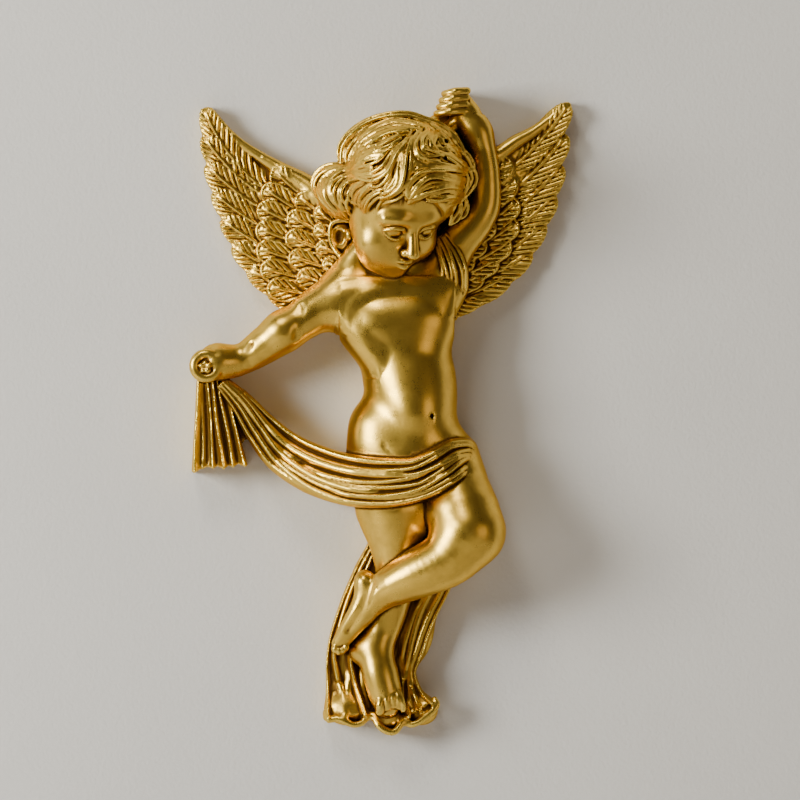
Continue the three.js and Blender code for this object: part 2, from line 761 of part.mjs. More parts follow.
/** The lattice's skin, by surface nets: a point in each cell that the surface crosses, a square across each edge. */
function skin(clay) {
  settle(clay);
  fillBubbles(clay);
  const [nx, ny, nz] = clay.size;
  const f = clay.values;
  const points = [];
  const cellPoint = new Map();
  const edges = [];
  for (let a = 0; a < 8; a++)
    for (let b = a + 1; b < 8; b++)
      if ([1, 2, 4].includes(a ^ b)) edges.push([a, b]);
  for (let i = 0; i < nx - 1; i++)
    for (let k = 0; k < nz - 1; k++)
      for (let j = 0; j < ny - 1; j++) {
        const v = CORNERS.map(([x, y, z]) => f[clay.at(i + x, j + y, k + z)]);
        if (v.every((d) => d < 0) || v.every((d) => d >= 0)) continue;
        const sum = [0, 0, 0];
        let crossings = 0;
        for (const [a, b] of edges) {
          if (v[a] < 0 === v[b] < 0) continue;
          const t = v[a] / (v[a] - v[b]);
          for (let axis = 0; axis < 3; axis++) sum[axis] += mix(CORNERS[a][axis], CORNERS[b][axis], t);
          crossings++;
        }
        cellPoint.set(clay.at(i, j, k), points.length / 3);
        points.push(
          (LOW[0] + (i + sum[0] / crossings) * STEP) * ACROSS,
          -(LOW[1] + (j + sum[1] / crossings) * STEP) * OUT,
          (LOW[2] + (k + sum[2] / crossings) * STEP) * ACROSS,
        );
      }
  const triangles = [];
  const square = (a, b, c, d, flip) => {
    const p = [a, b, c, d].map((n) => cellPoint.get(n));
    if (!flip) p.reverse();
    triangles.push(p[0], p[1], p[2], p[0], p[2], p[3]);
  };
  for (let i = 1; i < nx - 1; i++)
    for (let k = 1; k < nz - 1; k++)
      for (let j = 1; j < ny - 1; j++) {
        const inside = f[clay.at(i, j, k)] < 0;
        const n = clay.at(i, j, k);
        const dx = clay.at(1, 0, 0);
        const dz = clay.at(0, 0, 1);
        if (inside !== f[n + dx] < 0) square(n, n - 1, n - 1 - dz, n - dz, !inside);
        if (inside !== f[n + 1] < 0) square(n, n - dz, n - dz - dx, n - dx, !inside);
        if (inside !== f[n + dz] < 0) square(n, n - dx, n - dx - 1, n - 1, !inside);
      }
  return { points, triangles };
}

/** A queue that gives back the entry of least cost first. */
class Queue {
  constructor() {
    this.items = [];
  }

  push(item) {
    const list = this.items;
    let n = list.length;
    list.push(item);
    while (n > 0) {
      const parent = (n - 1) >> 1;
      if (list[parent].cost <= item.cost) break;
      list[n] = list[parent];
      n = parent;
    }
    list[n] = item;
  }

  pop() {
    const list = this.items;
    const top = list[0];
    const last = list.pop();
    if (!list.length) return top;
    let n = 0;
    for (;;) {
      let child = 2 * n + 1;
      if (child >= list.length) break;
      if (child + 1 < list.length && list[child + 1].cost < list[child].cost) child++;
      if (list[child].cost >= last.cost) break;
      list[n] = list[child];
      n = child;
    }
    list[n] = last;
    return top;
  }
}

/** Thins a closed mesh by folding away the edges that change its shape least, measured by plane quadrics. */
function thin({ points, triangles }, wanted) {
  const place = [];
  for (let n = 0; n < points.length; n += 3) place.push(points.slice(n, n + 3));
  const faces = [];
  const facesOf = place.map(() => new Set());
  const quadric = place.map(() => new Float64Array(10));
  const stamp = place.map(() => 0);
  const normalOf = (a, b, c) => {
    const u = [b[0] - a[0], b[1] - a[1], b[2] - a[2]];
    const v = [c[0] - a[0], c[1] - a[1], c[2] - a[2]];
    return [u[1] * v[2] - u[2] * v[1], u[2] * v[0] - u[0] * v[2], u[0] * v[1] - u[1] * v[0]];
  };
  for (let n = 0; n < triangles.length; n += 3) {
    const face = triangles.slice(n, n + 3);
    face.forEach((v) => facesOf[v].add(faces.length));
    const normal = normalOf(...face.map((v) => place[v]));
    const area = Math.hypot(...normal);
    if (area > 0) {
      const [a, b, c] = normal.map((m) => m / area);
      const p = place[face[0]];
      const d = -(a * p[0] + b * p[1] + c * p[2]);
      const plane = [a * a, a * b, a * c, a * d, b * b, b * c, b * d, c * c, c * d, d * d];
      face.forEach((v) => plane.forEach((m, i) => (quadric[v][i] += m * area)));
    }
    faces.push(face);
  }
  const cost = (q, [x, y, z]) =>
    q[0] * x * x + 2 * q[1] * x * y + 2 * q[2] * x * z + 2 * q[3] * x + q[4] * y * y +
    2 * q[5] * y * z + 2 * q[6] * y + q[7] * z * z + 2 * q[8] * z + q[9];
  const neighbours = (v) => {
    const found = new Set();
    for (const f of facesOf[v]) faces[f].forEach((w) => w !== v && found.add(w));
    return found;
  };
  const queue = new Queue();
  const offer = (a, b) => {
    const q = quadric[a].map((m, i) => m + quadric[b][i]);
    const middle = place[a].map((m, i) => (m + place[b][i]) / 2);
    let best = null;
    for (const at of [place[a], place[b], middle, lowest(q)])
      if (at && Math.hypot(...at.map((m, i) => m - middle[i])) < 3 * SAMPLE) {
        const c = cost(q, at);
        if (!best || c < best.cost) best = { cost: c, at };
      }
    const length = Math.hypot(...place[a].map((m, i) => m - place[b][i]));
    queue.push({ cost: best.cost + 1e-6 * length, a, b, at: best.at, stamps: stamp[a] + stamp[b] });
  };
  const flips = (v, other, at) => {
    for (const f of facesOf[v]) {
      const face = faces[f];
      if (face.includes(other)) continue;
      const before = normalOf(...face.map((w) => place[w]));
      const after = normalOf(...face.map((w) => (w === v ? at : place[w])));
      const size = Math.hypot(...before) * Math.hypot(...after);
      if (before[0] * after[0] + before[1] * after[1] + before[2] * after[2] < 0.3 * size) return true;
      if (Math.hypot(...after) < 1e-3) return true;
    }
    return false;
  };
  place.forEach((_, a) => neighbours(a).forEach((b) => a < b && offer(a, b)));
  let left = faces.length;
  while (left > wanted && queue.items.length) {
    const { a, b, at, stamps } = queue.pop();
    if (stamps !== stamp[a] + stamp[b] || !facesOf[a].size || !facesOf[b].size) continue;
    const aside = neighbours(a);
    const shared = [...neighbours(b)].filter((v) => aside.has(v));
    if (!aside.has(b) || shared.length !== 2 || flips(a, b, at) || flips(b, a, at)) continue;
    for (const f of [...facesOf[b]]) {
      if (faces[f].includes(a)) {
        faces[f].forEach((v) => facesOf[v].delete(f));
        faces[f] = null;
        left--;
      } else {
        faces[f] = faces[f].map((v) => (v === b ? a : v));
        facesOf[a].add(f);
      }
    }
    facesOf[b].clear();
    place[a] = at;
    quadric[a] = quadric[a].map((m, i) => m + quadric[b][i]);
    stamp[a] += 1;
    stamp[b] += 1;
    neighbours(a).forEach((v) => offer(a, v));
  }
  return { place, faces: faces.filter(Boolean) };
}

/** The point where a quadric is least, or null where it has no single one. */
function lowest(q) {
  const m = new THREE.Matrix3().set(q[0], q[1], q[2], q[1], q[4], q[5], q[2], q[5], q[7]);
  const size = Math.max(q[0], q[4], q[7]);
  if (Math.abs(m.determinant()) < 1e-3 * size ** 3) return null;
  return new THREE.Vector3(-q[3], -q[6], -q[8]).applyMatrix3(m.invert()).toArray();
}

// The skin is cut off flat at the wall
const wasm = await Module();
wasm.setup();
const thinned = thin(skin(figure), TRIANGLES);
const number = new Map();
const used = [];
for (const v of thinned.faces.flat())
  if (!number.has(v)) {
    number.set(v, used.length);
    used.push(v);
  }
const cast = new wasm.Manifold(
  new wasm.Mesh({
    numProp: 3,
    vertProperties: new Float32Array(used.flatMap((v) => thinned.place[v])),
    triVerts: new Uint32Array(thinned.faces.flat().map((v) => number.get(v))),
  }),
);
const roomSide = new THREE.BoxGeometry(3 * HEIGHT, 2 * DEPTH, 3 * HEIGHT).translate(0, -DEPTH, 0);
roomSide.deleteAttribute("normal").deleteAttribute("uv");
const room = mergeVertices(roomSide);
const block = new wasm.Manifold(
  new wasm.Mesh({
    numProp: 3,
    vertProperties: room.attributes.position.array,
    triVerts: new Uint32Array(room.index.array),
  }),
);
const plaque = cast.intersect(block).getMesh();
const geometry = new THREE.BufferGeometry()
  .setAttribute("position", new THREE.BufferAttribute(plaque.vertProperties, 3))
  .setIndex(new THREE.BufferAttribute(plaque.triVerts, 1));
geometry.computeVertexNormals();

const gold = new THREE.MeshStandardMaterial({ color: 0xc99a3c, roughness: 0.34, metalness: 0.95 });
const cherub = new THREE.Mesh(geometry, gold);
cherub.name = "cherub";

export default new THREE.Group().add(cherub);
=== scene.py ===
"""A gilt resin cherub that hangs on a wall: the modelled figure, its gold finish, the wall and the light.

The figure is modelled on a drawing grid, as a sculptor squares up a sketch. A place on the grid is
(right, out, up) from the hanging point on the flat back, with out measured from the wall to the room.
A modelled figure is no surface of two parameters. Its forms are distances in space, pressed together
as whole arrays on a lattice, and the lattice becomes one closed skin.
"""

import logging
import math
from dataclasses import dataclass, field
from enum import Enum
from typing import Callable, Optional, Sequence

import bpy
import numpy as np
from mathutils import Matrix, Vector


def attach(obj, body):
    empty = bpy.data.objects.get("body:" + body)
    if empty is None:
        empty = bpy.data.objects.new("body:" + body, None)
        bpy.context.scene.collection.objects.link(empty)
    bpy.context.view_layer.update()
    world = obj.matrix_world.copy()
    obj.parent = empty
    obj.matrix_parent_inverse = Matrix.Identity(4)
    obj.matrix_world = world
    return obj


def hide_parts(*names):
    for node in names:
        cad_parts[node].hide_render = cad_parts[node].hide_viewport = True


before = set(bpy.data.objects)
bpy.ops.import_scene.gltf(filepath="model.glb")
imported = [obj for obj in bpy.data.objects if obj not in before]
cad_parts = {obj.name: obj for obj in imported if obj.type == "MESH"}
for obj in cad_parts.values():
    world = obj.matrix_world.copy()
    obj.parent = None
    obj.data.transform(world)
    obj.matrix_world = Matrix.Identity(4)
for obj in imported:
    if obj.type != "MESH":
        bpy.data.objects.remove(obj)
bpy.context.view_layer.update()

Array = np.ndarray
Station = Sequence[float]
log = logging.getLogger("cherub")

# The figure's size, in metres, and the drawing grid's
HEIGHT = 0.230
DEPTH = 0.052
GRID_HEIGHT = 650.0
GRID_DEPTH = 147.0
ACROSS = HEIGHT / GRID_HEIGHT
OUT = DEPTH / GRID_DEPTH

# The lattice, in grid squares: its step, its box, and the distance that its empty samples start with
STEP = 1.0
LOW = np.array([-218.0, -STEP / 2, -480.0])
HIGH = np.array([194.0, 160.0, 200.0])
AIR = 60.0

# How forms meet, how much the sides draw in towards the wall, and how fine the skin is kept
FILLET = 1.4
TAPER = 0.07
MOST_TRIANGLES = 190_000

# Points this near the wall lie on it, and how far round a point its grooves and hollows are measured
NEAR_WALL = 0.3 * STEP
GROOVE_REACH = 2.2
HOLLOW_REACH = 9.9


def join(a: Array, b: Array, reach: float) -> Array:
    """The lesser of two distances a and b, less (reach - |a - b|)^2 / (4 reach) where they are near alike.

    Args:
        a: distances from one form.
        b: distances from another.
        reach: how near the two are where the fillet starts.

    Returns:
        The distances from both forms together.
    """
    if reach <= 0:
        return np.minimum(a, b)
    near = np.maximum(reach - np.abs(a - b), 0)
    return np.minimum(a, b) - near * near / (4 * reach)


def meet(a: Array, b: Array, reach: float) -> Array:
    """The greater of two distances, rounded as join() rounds the lesser."""
    return -join(-a, -b, reach)


def smooth(t: Array) -> Array:
    """Eases t from 0 to 1 as 3t^2 - 2t^3."""
    return t * t * (3 - 2 * t)


def along(values: Sequence[float], t: Array) -> Array:
    """Values spread evenly from t = 0 to t = 1, read at t with straight lines between them."""
    return np.interp(t, np.linspace(0, 1, len(values)), values).astype(np.float32)


def spline(points: Array, spans: int) -> Array:
    """A smooth line through points: the centripetal Catmull-Rom curve, with `spans` steps to a stretch.

    Args:
        points: one row for each point.
        spans: how many steps each stretch between two points has.

    Returns:
        One row for each place on the line.
    """
    p = np.vstack([2 * points[0] - points[1], points, 2 * points[-1] - points[-2]])
    gap = np.maximum(np.linalg.norm(np.diff(p, axis=0), axis=1) ** 0.5, 1e-4)[:, None]
    a, b, c, d = p[:-3], p[1:-2], p[2:-1], p[3:]
    g0, g1, g2 = gap[:-2], gap[1:-1], gap[2:]
    start = ((b - a) / g0 - (c - a) / (g0 + g1) + (c - b) / g1) * g1
    end = ((c - b) / g1 - (d - b) / (g1 + g2) + (d - c) / g2) * g1
    t = (np.arange(spans) / spans)[None, :, None]
    b, c, start, end = (v[:, None, :] for v in (b, c, start, end))
    line = b * (2 * t**3 - 3 * t**2 + 1) + start * (t**3 - 2 * t**2 + t)
    line = line + c * (3 * t**2 - 2 * t**3) + end * (t**3 - t**2)
    return np.vstack([line.reshape(-1, points.shape[1]), points[-1:]])


@dataclass(frozen=True)
class Pose:
    """A frame that is turned and placed on the grid, such as the head's.

    Args:
        origin: (right, out, up) of its own origin.
        bow: how far it nods forward, in degrees.
        turn: how far it looks to the right, in degrees.
        tilt: how far it leans to its side, in degrees.
    """

    origin: tuple[float, float, float]
    bow: float
    turn: float
    tilt: float

    def matrix(self) -> Array:
        """The turning: bowed about its right, then turned about its up, then tilted about its front.

        Returns:
            A matrix that turns (right, out, up).
        """
        b, t, r = (math.radians(v) for v in (-self.bow, -self.turn, self.tilt))
        bow = np.array([[1, 0, 0], [0, math.cos(b), -math.sin(b)], [0, math.sin(b), math.cos(b)]])
        turn = np.array([[math.cos(t), -math.sin(t), 0], [math.sin(t), math.cos(t), 0], [0, 0, 1]])
        tilt = np.array([[math.cos(r), 0, math.sin(r)], [0, 1, 0], [-math.sin(r), 0, math.cos(r)]])
        return tilt @ turn @ bow

    def place(self, point: Station) -> Array:
        """A point of the frame, on the grid."""
        return self.matrix() @ np.asarray(point, float) + np.asarray(self.origin, float)

    def stations(self, stations: Sequence[Station]) -> list[Station]:
        """Stations of the frame, (right, front, up, radius), on the grid."""
        return [(*self.place(s[:3]), s[3]) for s in stations]


@dataclass
class Ball:
    """An ellipsoid, upright on the grid or in a pose."""

    centre: Station
    radii: Station
    pose: Optional[Pose] = None

    def bounds(self) -> tuple[Array, Array]:
        """The lowest and highest corners.

        Returns:
            Both, as (right, out, up).
        """
        centre, half = np.asarray(self.centre, float), np.asarray(self.radii, float)
        if self.pose:
            centre, half = self.pose.place(self.centre), np.abs(self.pose.matrix()) @ half
        return centre - half, centre + half

    def distance(self, x: Array, y: Array, z: Array) -> Array:
        """With k the length of p/r and m the length of p/r^2, the distance is about k(k - 1)/m.

        Args:
            x: how far right, on a lattice.
            y: how far out.
            z: how far up.

        Returns:
            The distance at each sample, less than 0 inside.
        """
        centre = self.pose.place(self.centre) if self.pose else self.centre
        p = [x - centre[0], y - centre[1], z - centre[2]]
        if self.pose:
            turned = self.pose.matrix().T
            p = [row[0] * p[0] + row[1] * p[1] + row[2] * p[2] for row in turned]
        k = np.sqrt(sum((v / r) ** 2 for v, r in zip(p, self.radii)))
        m = np.sqrt(sum((v / r**2) ** 2 for v, r in zip(p, self.radii)))
        return k * (k - 1) / np.maximum(m, 1e-6)


@dataclass
class Limb:
    """A rounded limb through stations of (right, out, up, radius)."""

    stations: Sequence[Station]
    spans: int = 5

    def line(self) -> Array:
        """Places on the limb's axis, with the radius last, which runs straight between stations.

        Returns:
            One (right, out, up, radius) to a row.
        """
        points = np.array([s[:3] for s in self.stations], float)
        line = spline(points, self.spans)
        radius = along([s[3] for s in self.stations], np.linspace(0, 1, len(line)))
        return np.column_stack([line, radius])

    def bounds(self) -> tuple[Array, Array]:
        """The lowest and highest corners."""
        line = self.line()
        return (line[:, :3] - line[:, 3:]).min(0), (line[:, :3] + line[:, 3:]).max(0)

    def distance(self, x: Array, y: Array, z: Array) -> Array:
        """The distance from the nearest stretch of the axis, less the radius there.

        Each stretch is worked out only in the box that its surface can reach.

        Args:
            x: how far right, on a lattice.
            y: how far out.
            z: how far up.

        Returns:
            The distance at each sample, less than 0 inside.
        """
        line = self.line()
        axes = (x.ravel(), z.ravel(), y.ravel())
        nearest = np.full([len(a) for a in axes], AIR, np.float32)
        for a, b in zip(line[:-1], line[1:]):
            reach = max(a[3], b[3]) + 4 * STEP + FILLET
            low, high = np.minimum(a, b)[[0, 2, 1]] - reach, np.maximum(a, b)[[0, 2, 1]] + reach
            cut = [slice(*np.searchsorted(v, (lo, hi))) for v, lo, hi in zip(axes, low, high)]
            if any(s.start == s.stop for s in cut):
                continue
            u = b[:3] - a[:3]
            length = float(u @ u) + 1e-9
            p = [x[cut[0]] - a[0], y[:, :, cut[2]] - a[1], z[:, cut[1]] - a[2]]
            t = np.clip((p[0] * u[0] + p[1] * u[1] + p[2] * u[2]) / length, 0, 1)
            p = [v - t * w for v, w in zip(p, u)]
            radius = a[3] + t * (b[3] - a[3])
            d = np.sqrt(p[0] ** 2 + p[1] ** 2 + p[2] ** 2) - radius
            nearest[tuple(cut)] = np.minimum(nearest[tuple(cut)], d)
        return nearest


@dataclass
class Relief:
    """Low relief over the wall.

    surface(x, z) gives how far out the face stands, and the distance from the outline. The edge between
    them is rounded by `edge`.
    """

    low: Station
    high: Station
    surface: Callable[[Array, Array], tuple[Array, Array]]
    edge: float

    def bounds(self) -> tuple[Array, Array]:
        """The lowest and highest corners."""
        return np.asarray(self.low, float), np.asarray(self.high, float)

    def distance(self, x: Array, y: Array, z: Array) -> Array:
        """Behind the face and within the outline, with the edge between them rounded."""
        out, outline = self.surface(x, z)
        return meet(y - out, outline, self.edge)


@dataclass(frozen=True)
class Feather:
    """One feather, a leaf that is told by its tip.

    Args:
        tip: (right, up) of the tip.
        angle: which way the tip points, in radians from the right.
        length: from the tip to the root.
        width: across the widest part.
        out: how far the feather's edge stands from the wall.
        bend: how far to the right of the tip's line the quill has swung at the root.
        point: how many half widths the tip takes to widen; more is more pointed.
        rim: the height of a rolled rim round the tip.
        pitch: from one barb to the next.
        slant: how far a barb's line leans towards the tip for each square to the side.
        barb_height: how high a barb stands over the groove beside it.
        quill: how high the quill stands.
        arch: how high the leaf arches.
        lean: how far one edge stands over the middle, and the other under it.
        droop: how far the tip drops.
        notch: how deep a plain outline is notched between barbs.
        crowd: how many squares of barbs more there are near the tip.
        crowd_reach: how soon that many are reached.
    """

    tip: Station
    angle: float
    length: float
    width: float
    out: float
    bend: float = 0.0
    point: float = 1.25
    rim: float = 0.0
    pitch: float = 9.0
    slant: float = 1.7
    barb_height: float = 3.0
    quill: float = 3.0
    arch: float = 3.2
    lean: float = 2.3
    droop: float = 3.0
    notch: float = 0.6
    crowd: float = 7.0
    crowd_reach: float = 12.0

    def surface(self, x: Array, z: Array) -> tuple[Array, Array]:
        """The face and the outline.

        With u the distance down the quill from the tip and v across it, the face is an arch 1 - v^2, a
        quill, and barbs: a row of small arches in w = u + slant |v|, which lean towards the tip on both
        sides and are closer there, by w + crowd (1 - e^(-w / crowd_reach)). Slow sine waves bend the
        barbs and make them uneven.

        Args:
            x: how far right, on a lattice.
            z: how far up.

        Returns:
            How far out the face stands, and the distance from the outline.
        """
        c, s, half = math.cos(self.angle), math.sin(self.angle), self.width / 2
        px, pz = x - self.tip[0], z - self.tip[1]
        u = -(px * c + pz * s)
        v = px * s - pz * c - self.bend * (np.maximum(u, 0) / self.length) ** 2
        long = self.point * half
        round_tip = np.hypot((long - u) / self.point, v) - half
        outline = np.where(u < long, round_tip, np.abs(v) - half)
        arch = 1 - np.minimum((v / half) ** 2, 1)
        quill = np.maximum(1 - (v / 2.2) ** 2, 0) * np.clip((u - 0.3 * half) / 8, 0, 1)
        w = u + self.slant * np.abs(v) + 0.9 * np.sin(0.21 * v + self.tip[1])
        crowded = w + self.crowd * (1 - np.exp(-np.maximum(w, 0) / self.crowd_reach))
        phase = crowded / self.pitch % 1
        uneven = 0.8 + 0.3 * np.sin(0.19 * u + 0.27 * v + self.tip[0])
        barbs = (1 - (2 * phase - 1) ** 2) * np.clip((np.abs(v) - 1.6) / 1.8, 0, 1) * uneven
        rolled = np.maximum(1 - np.abs(outline + 1.3) / 1.5, 0) * (u < 2.2 * half)
        rim = rolled * (0.7 + 0.5 * uneven * barbs)
        inside_rim = 1 - np.minimum(rim * self.rim, 1)
        face = self.out + self.arch * arch + self.quill * quill + self.lean * (v / half)
        face = face + self.barb_height * (barbs - 0.5) * inside_rim + self.rim * rim
        face = face - self.droop * smooth(np.clip(1 - 2 * u / half, 0, 1))
        notches = self.notch * (1 - barbs) * (self.rim == 0)
        return face, np.maximum(outline + notches, u - self.length)

    def relief(self) -> Relief:
        """The feather as relief over the wall.

        Returns:
            The relief, in a box that holds the feather.
        """
        half = self.width / 2 + abs(self.bend)
        root = (
            self.tip[0] - self.length * math.cos(self.angle),
            self.tip[1] - self.length * math.sin(self.angle),
        )
        low = [min(self.tip[0], root[0]) - half, 0, min(self.tip[1], root[1]) - half]
        high = [max(self.tip[0], root[0]) + half, self.out + 9, max(self.tip[1], root[1]) + half]
        return Relief(low, high, self.surface, 1)


class Ridge(Enum):
    """How a fold rises: rounded with sharp valleys, or crisp with wide hollows between."""

    ROUND = "round"
    CRISP = "crisp"


@dataclass(frozen=True)
class Fold:
    """A fold along a strip.

    Args:
        start: where it starts, as a share of the strip's length.
        stop: where it stops.
        at: the s that it starts at, from -1 at one edge of the strip to 1 at the other.
        to: the s that it has drifted to where it stops.
        width: its half width, in s.
        height: how high it stands.
        ridge: how it rises.
        sway: how far it wanders from side to side, in s.
        fade: the share of its length over which an end that is inside the strip fades.
    """

    start: float
    stop: float
    at: float
    to: float
    width: float = 0.15
    height: float = 6.0
    ridge: Ridge = Ridge.ROUND
    sway: float = 0.05
    fade: float = 0.14

    def rise(self, place: Array, s: Array) -> Array:
        """How far the fold stands over the strip: 1 - d^2 if round, and (1 - |d|)^2 if crisp.

        Args:
            place: where each sample is along the strip, from 0 to 1.
            s: where it is across.

        Returns:
            The rise at each sample.
        """
        t = (place - self.start) / (self.stop - self.start)
        ends = np.ones_like(t)
        if self.start > 0:
            ends = ends * smooth(np.clip(t / self.fade, 0, 1))
        if self.stop < 1:
            ends = ends * smooth(np.clip((1 - t) / self.fade, 0, 1))
        home = self.at + (self.to - self.at) * t + self.sway * np.sin(6 * t + 11 * self.at)
        d = np.minimum(np.abs(s - home) / self.width, 1)
        shape = 1 - d * d if self.ridge is Ridge.ROUND else (1 - d) ** 2
        return self.height * ends * shape


@dataclass
class Strip:
    """Cloth laid along a curve of (right, up, half width, out) stations, with folds along it.

    Across the strip, s runs from -1 to 1, and the face is out + crown sqrt(1 - s^2) and the highest fold
    there. Folds are shallower where the cloth is gathered to less than `open_cloth`. The hem waves with
    the folds by `wave`, and its last sixth turns out towards the room by `flare`.
    """

    stations: Sequence[Station]
    folds: Sequence[Fold]
    crown: float = 5.0
    wave: float = 0.0
    flare: float = 0.0
    open_cloth: float = 22.0
    hem: float = 3.0

    def relief(self) -> Relief:
        """The strip as relief over the wall.

        Returns:
            The relief, in a box that holds the strip.
        """
        points = np.array([s[:2] for s in self.stations], float)
        line = spline(points, 8)
        halves = [s[2] for s in self.stations]
        outs = [s[3] for s in self.stations]
        count = len(line) - 1
        tallest = max(fold.height for fold in self.folds)

        def surface(x: Array, z: Array) -> tuple[Array, Array]:
            """The face and the outline, by the nearest stretch of the curve.

            Args:
                x: how far right, on a lattice.
                z: how far up.

            Returns:
                How far out the face stands, and the distance from the outline.
            """
            shape = np.broadcast(x, z).shape
            gap = np.full(shape, np.inf)
            side, beyond, place = np.zeros(shape), np.zeros(shape), np.zeros(shape)
            for i in range(count):
                u = line[i + 1] - line[i]
                length = math.hypot(*u)
                px, pz = x - line[i, 0], z - line[i, 1]
                run = (px * u[0] + pz * u[1]) / length
                t = np.clip(run / length, 0, 1)
                away = np.hypot(px - t * u[0], pz - t * u[1])
                over = -run if i == 0 else run - length if i == count - 1 else np.full(shape, -np.inf)
                near = away < gap
                gap = np.where(near, away, gap)
                side = np.where(near, (px * u[1] - pz * u[0]) / length, side)
                place = np.where(near, (i + t) / count, place)
                beyond = np.where(near, over, beyond)
            half = along(halves, place)
            s = side / half
            rise = np.zeros(shape)
            for fold in self.folds:
                rise = np.maximum(rise, fold.rise(place, s))
            gathered = np.minimum(half / self.open_cloth, 1)
            dome = np.sqrt(np.maximum(1 - s * s, 0))
            turned = self.flare * np.clip(place * 6 - 5, 0, 1) ** 2
            face = along(outs, place) + self.crown * dome + gathered * rise + turned
            scallop = self.wave * (0.5 - rise / tallest)
            return face, np.maximum(np.abs(side) - half, beyond + scallop)

        most = max(halves) + self.wave
        high_out = max(outs) + self.crown + tallest + self.flare + 2
        low = [points[:, 0].min() - most, 0, points[:, 1].min() - most]
        high = [points[:, 0].max() + most, high_out, points[:, 1].max() + most]
        return Relief(low, high, surface, self.hem)


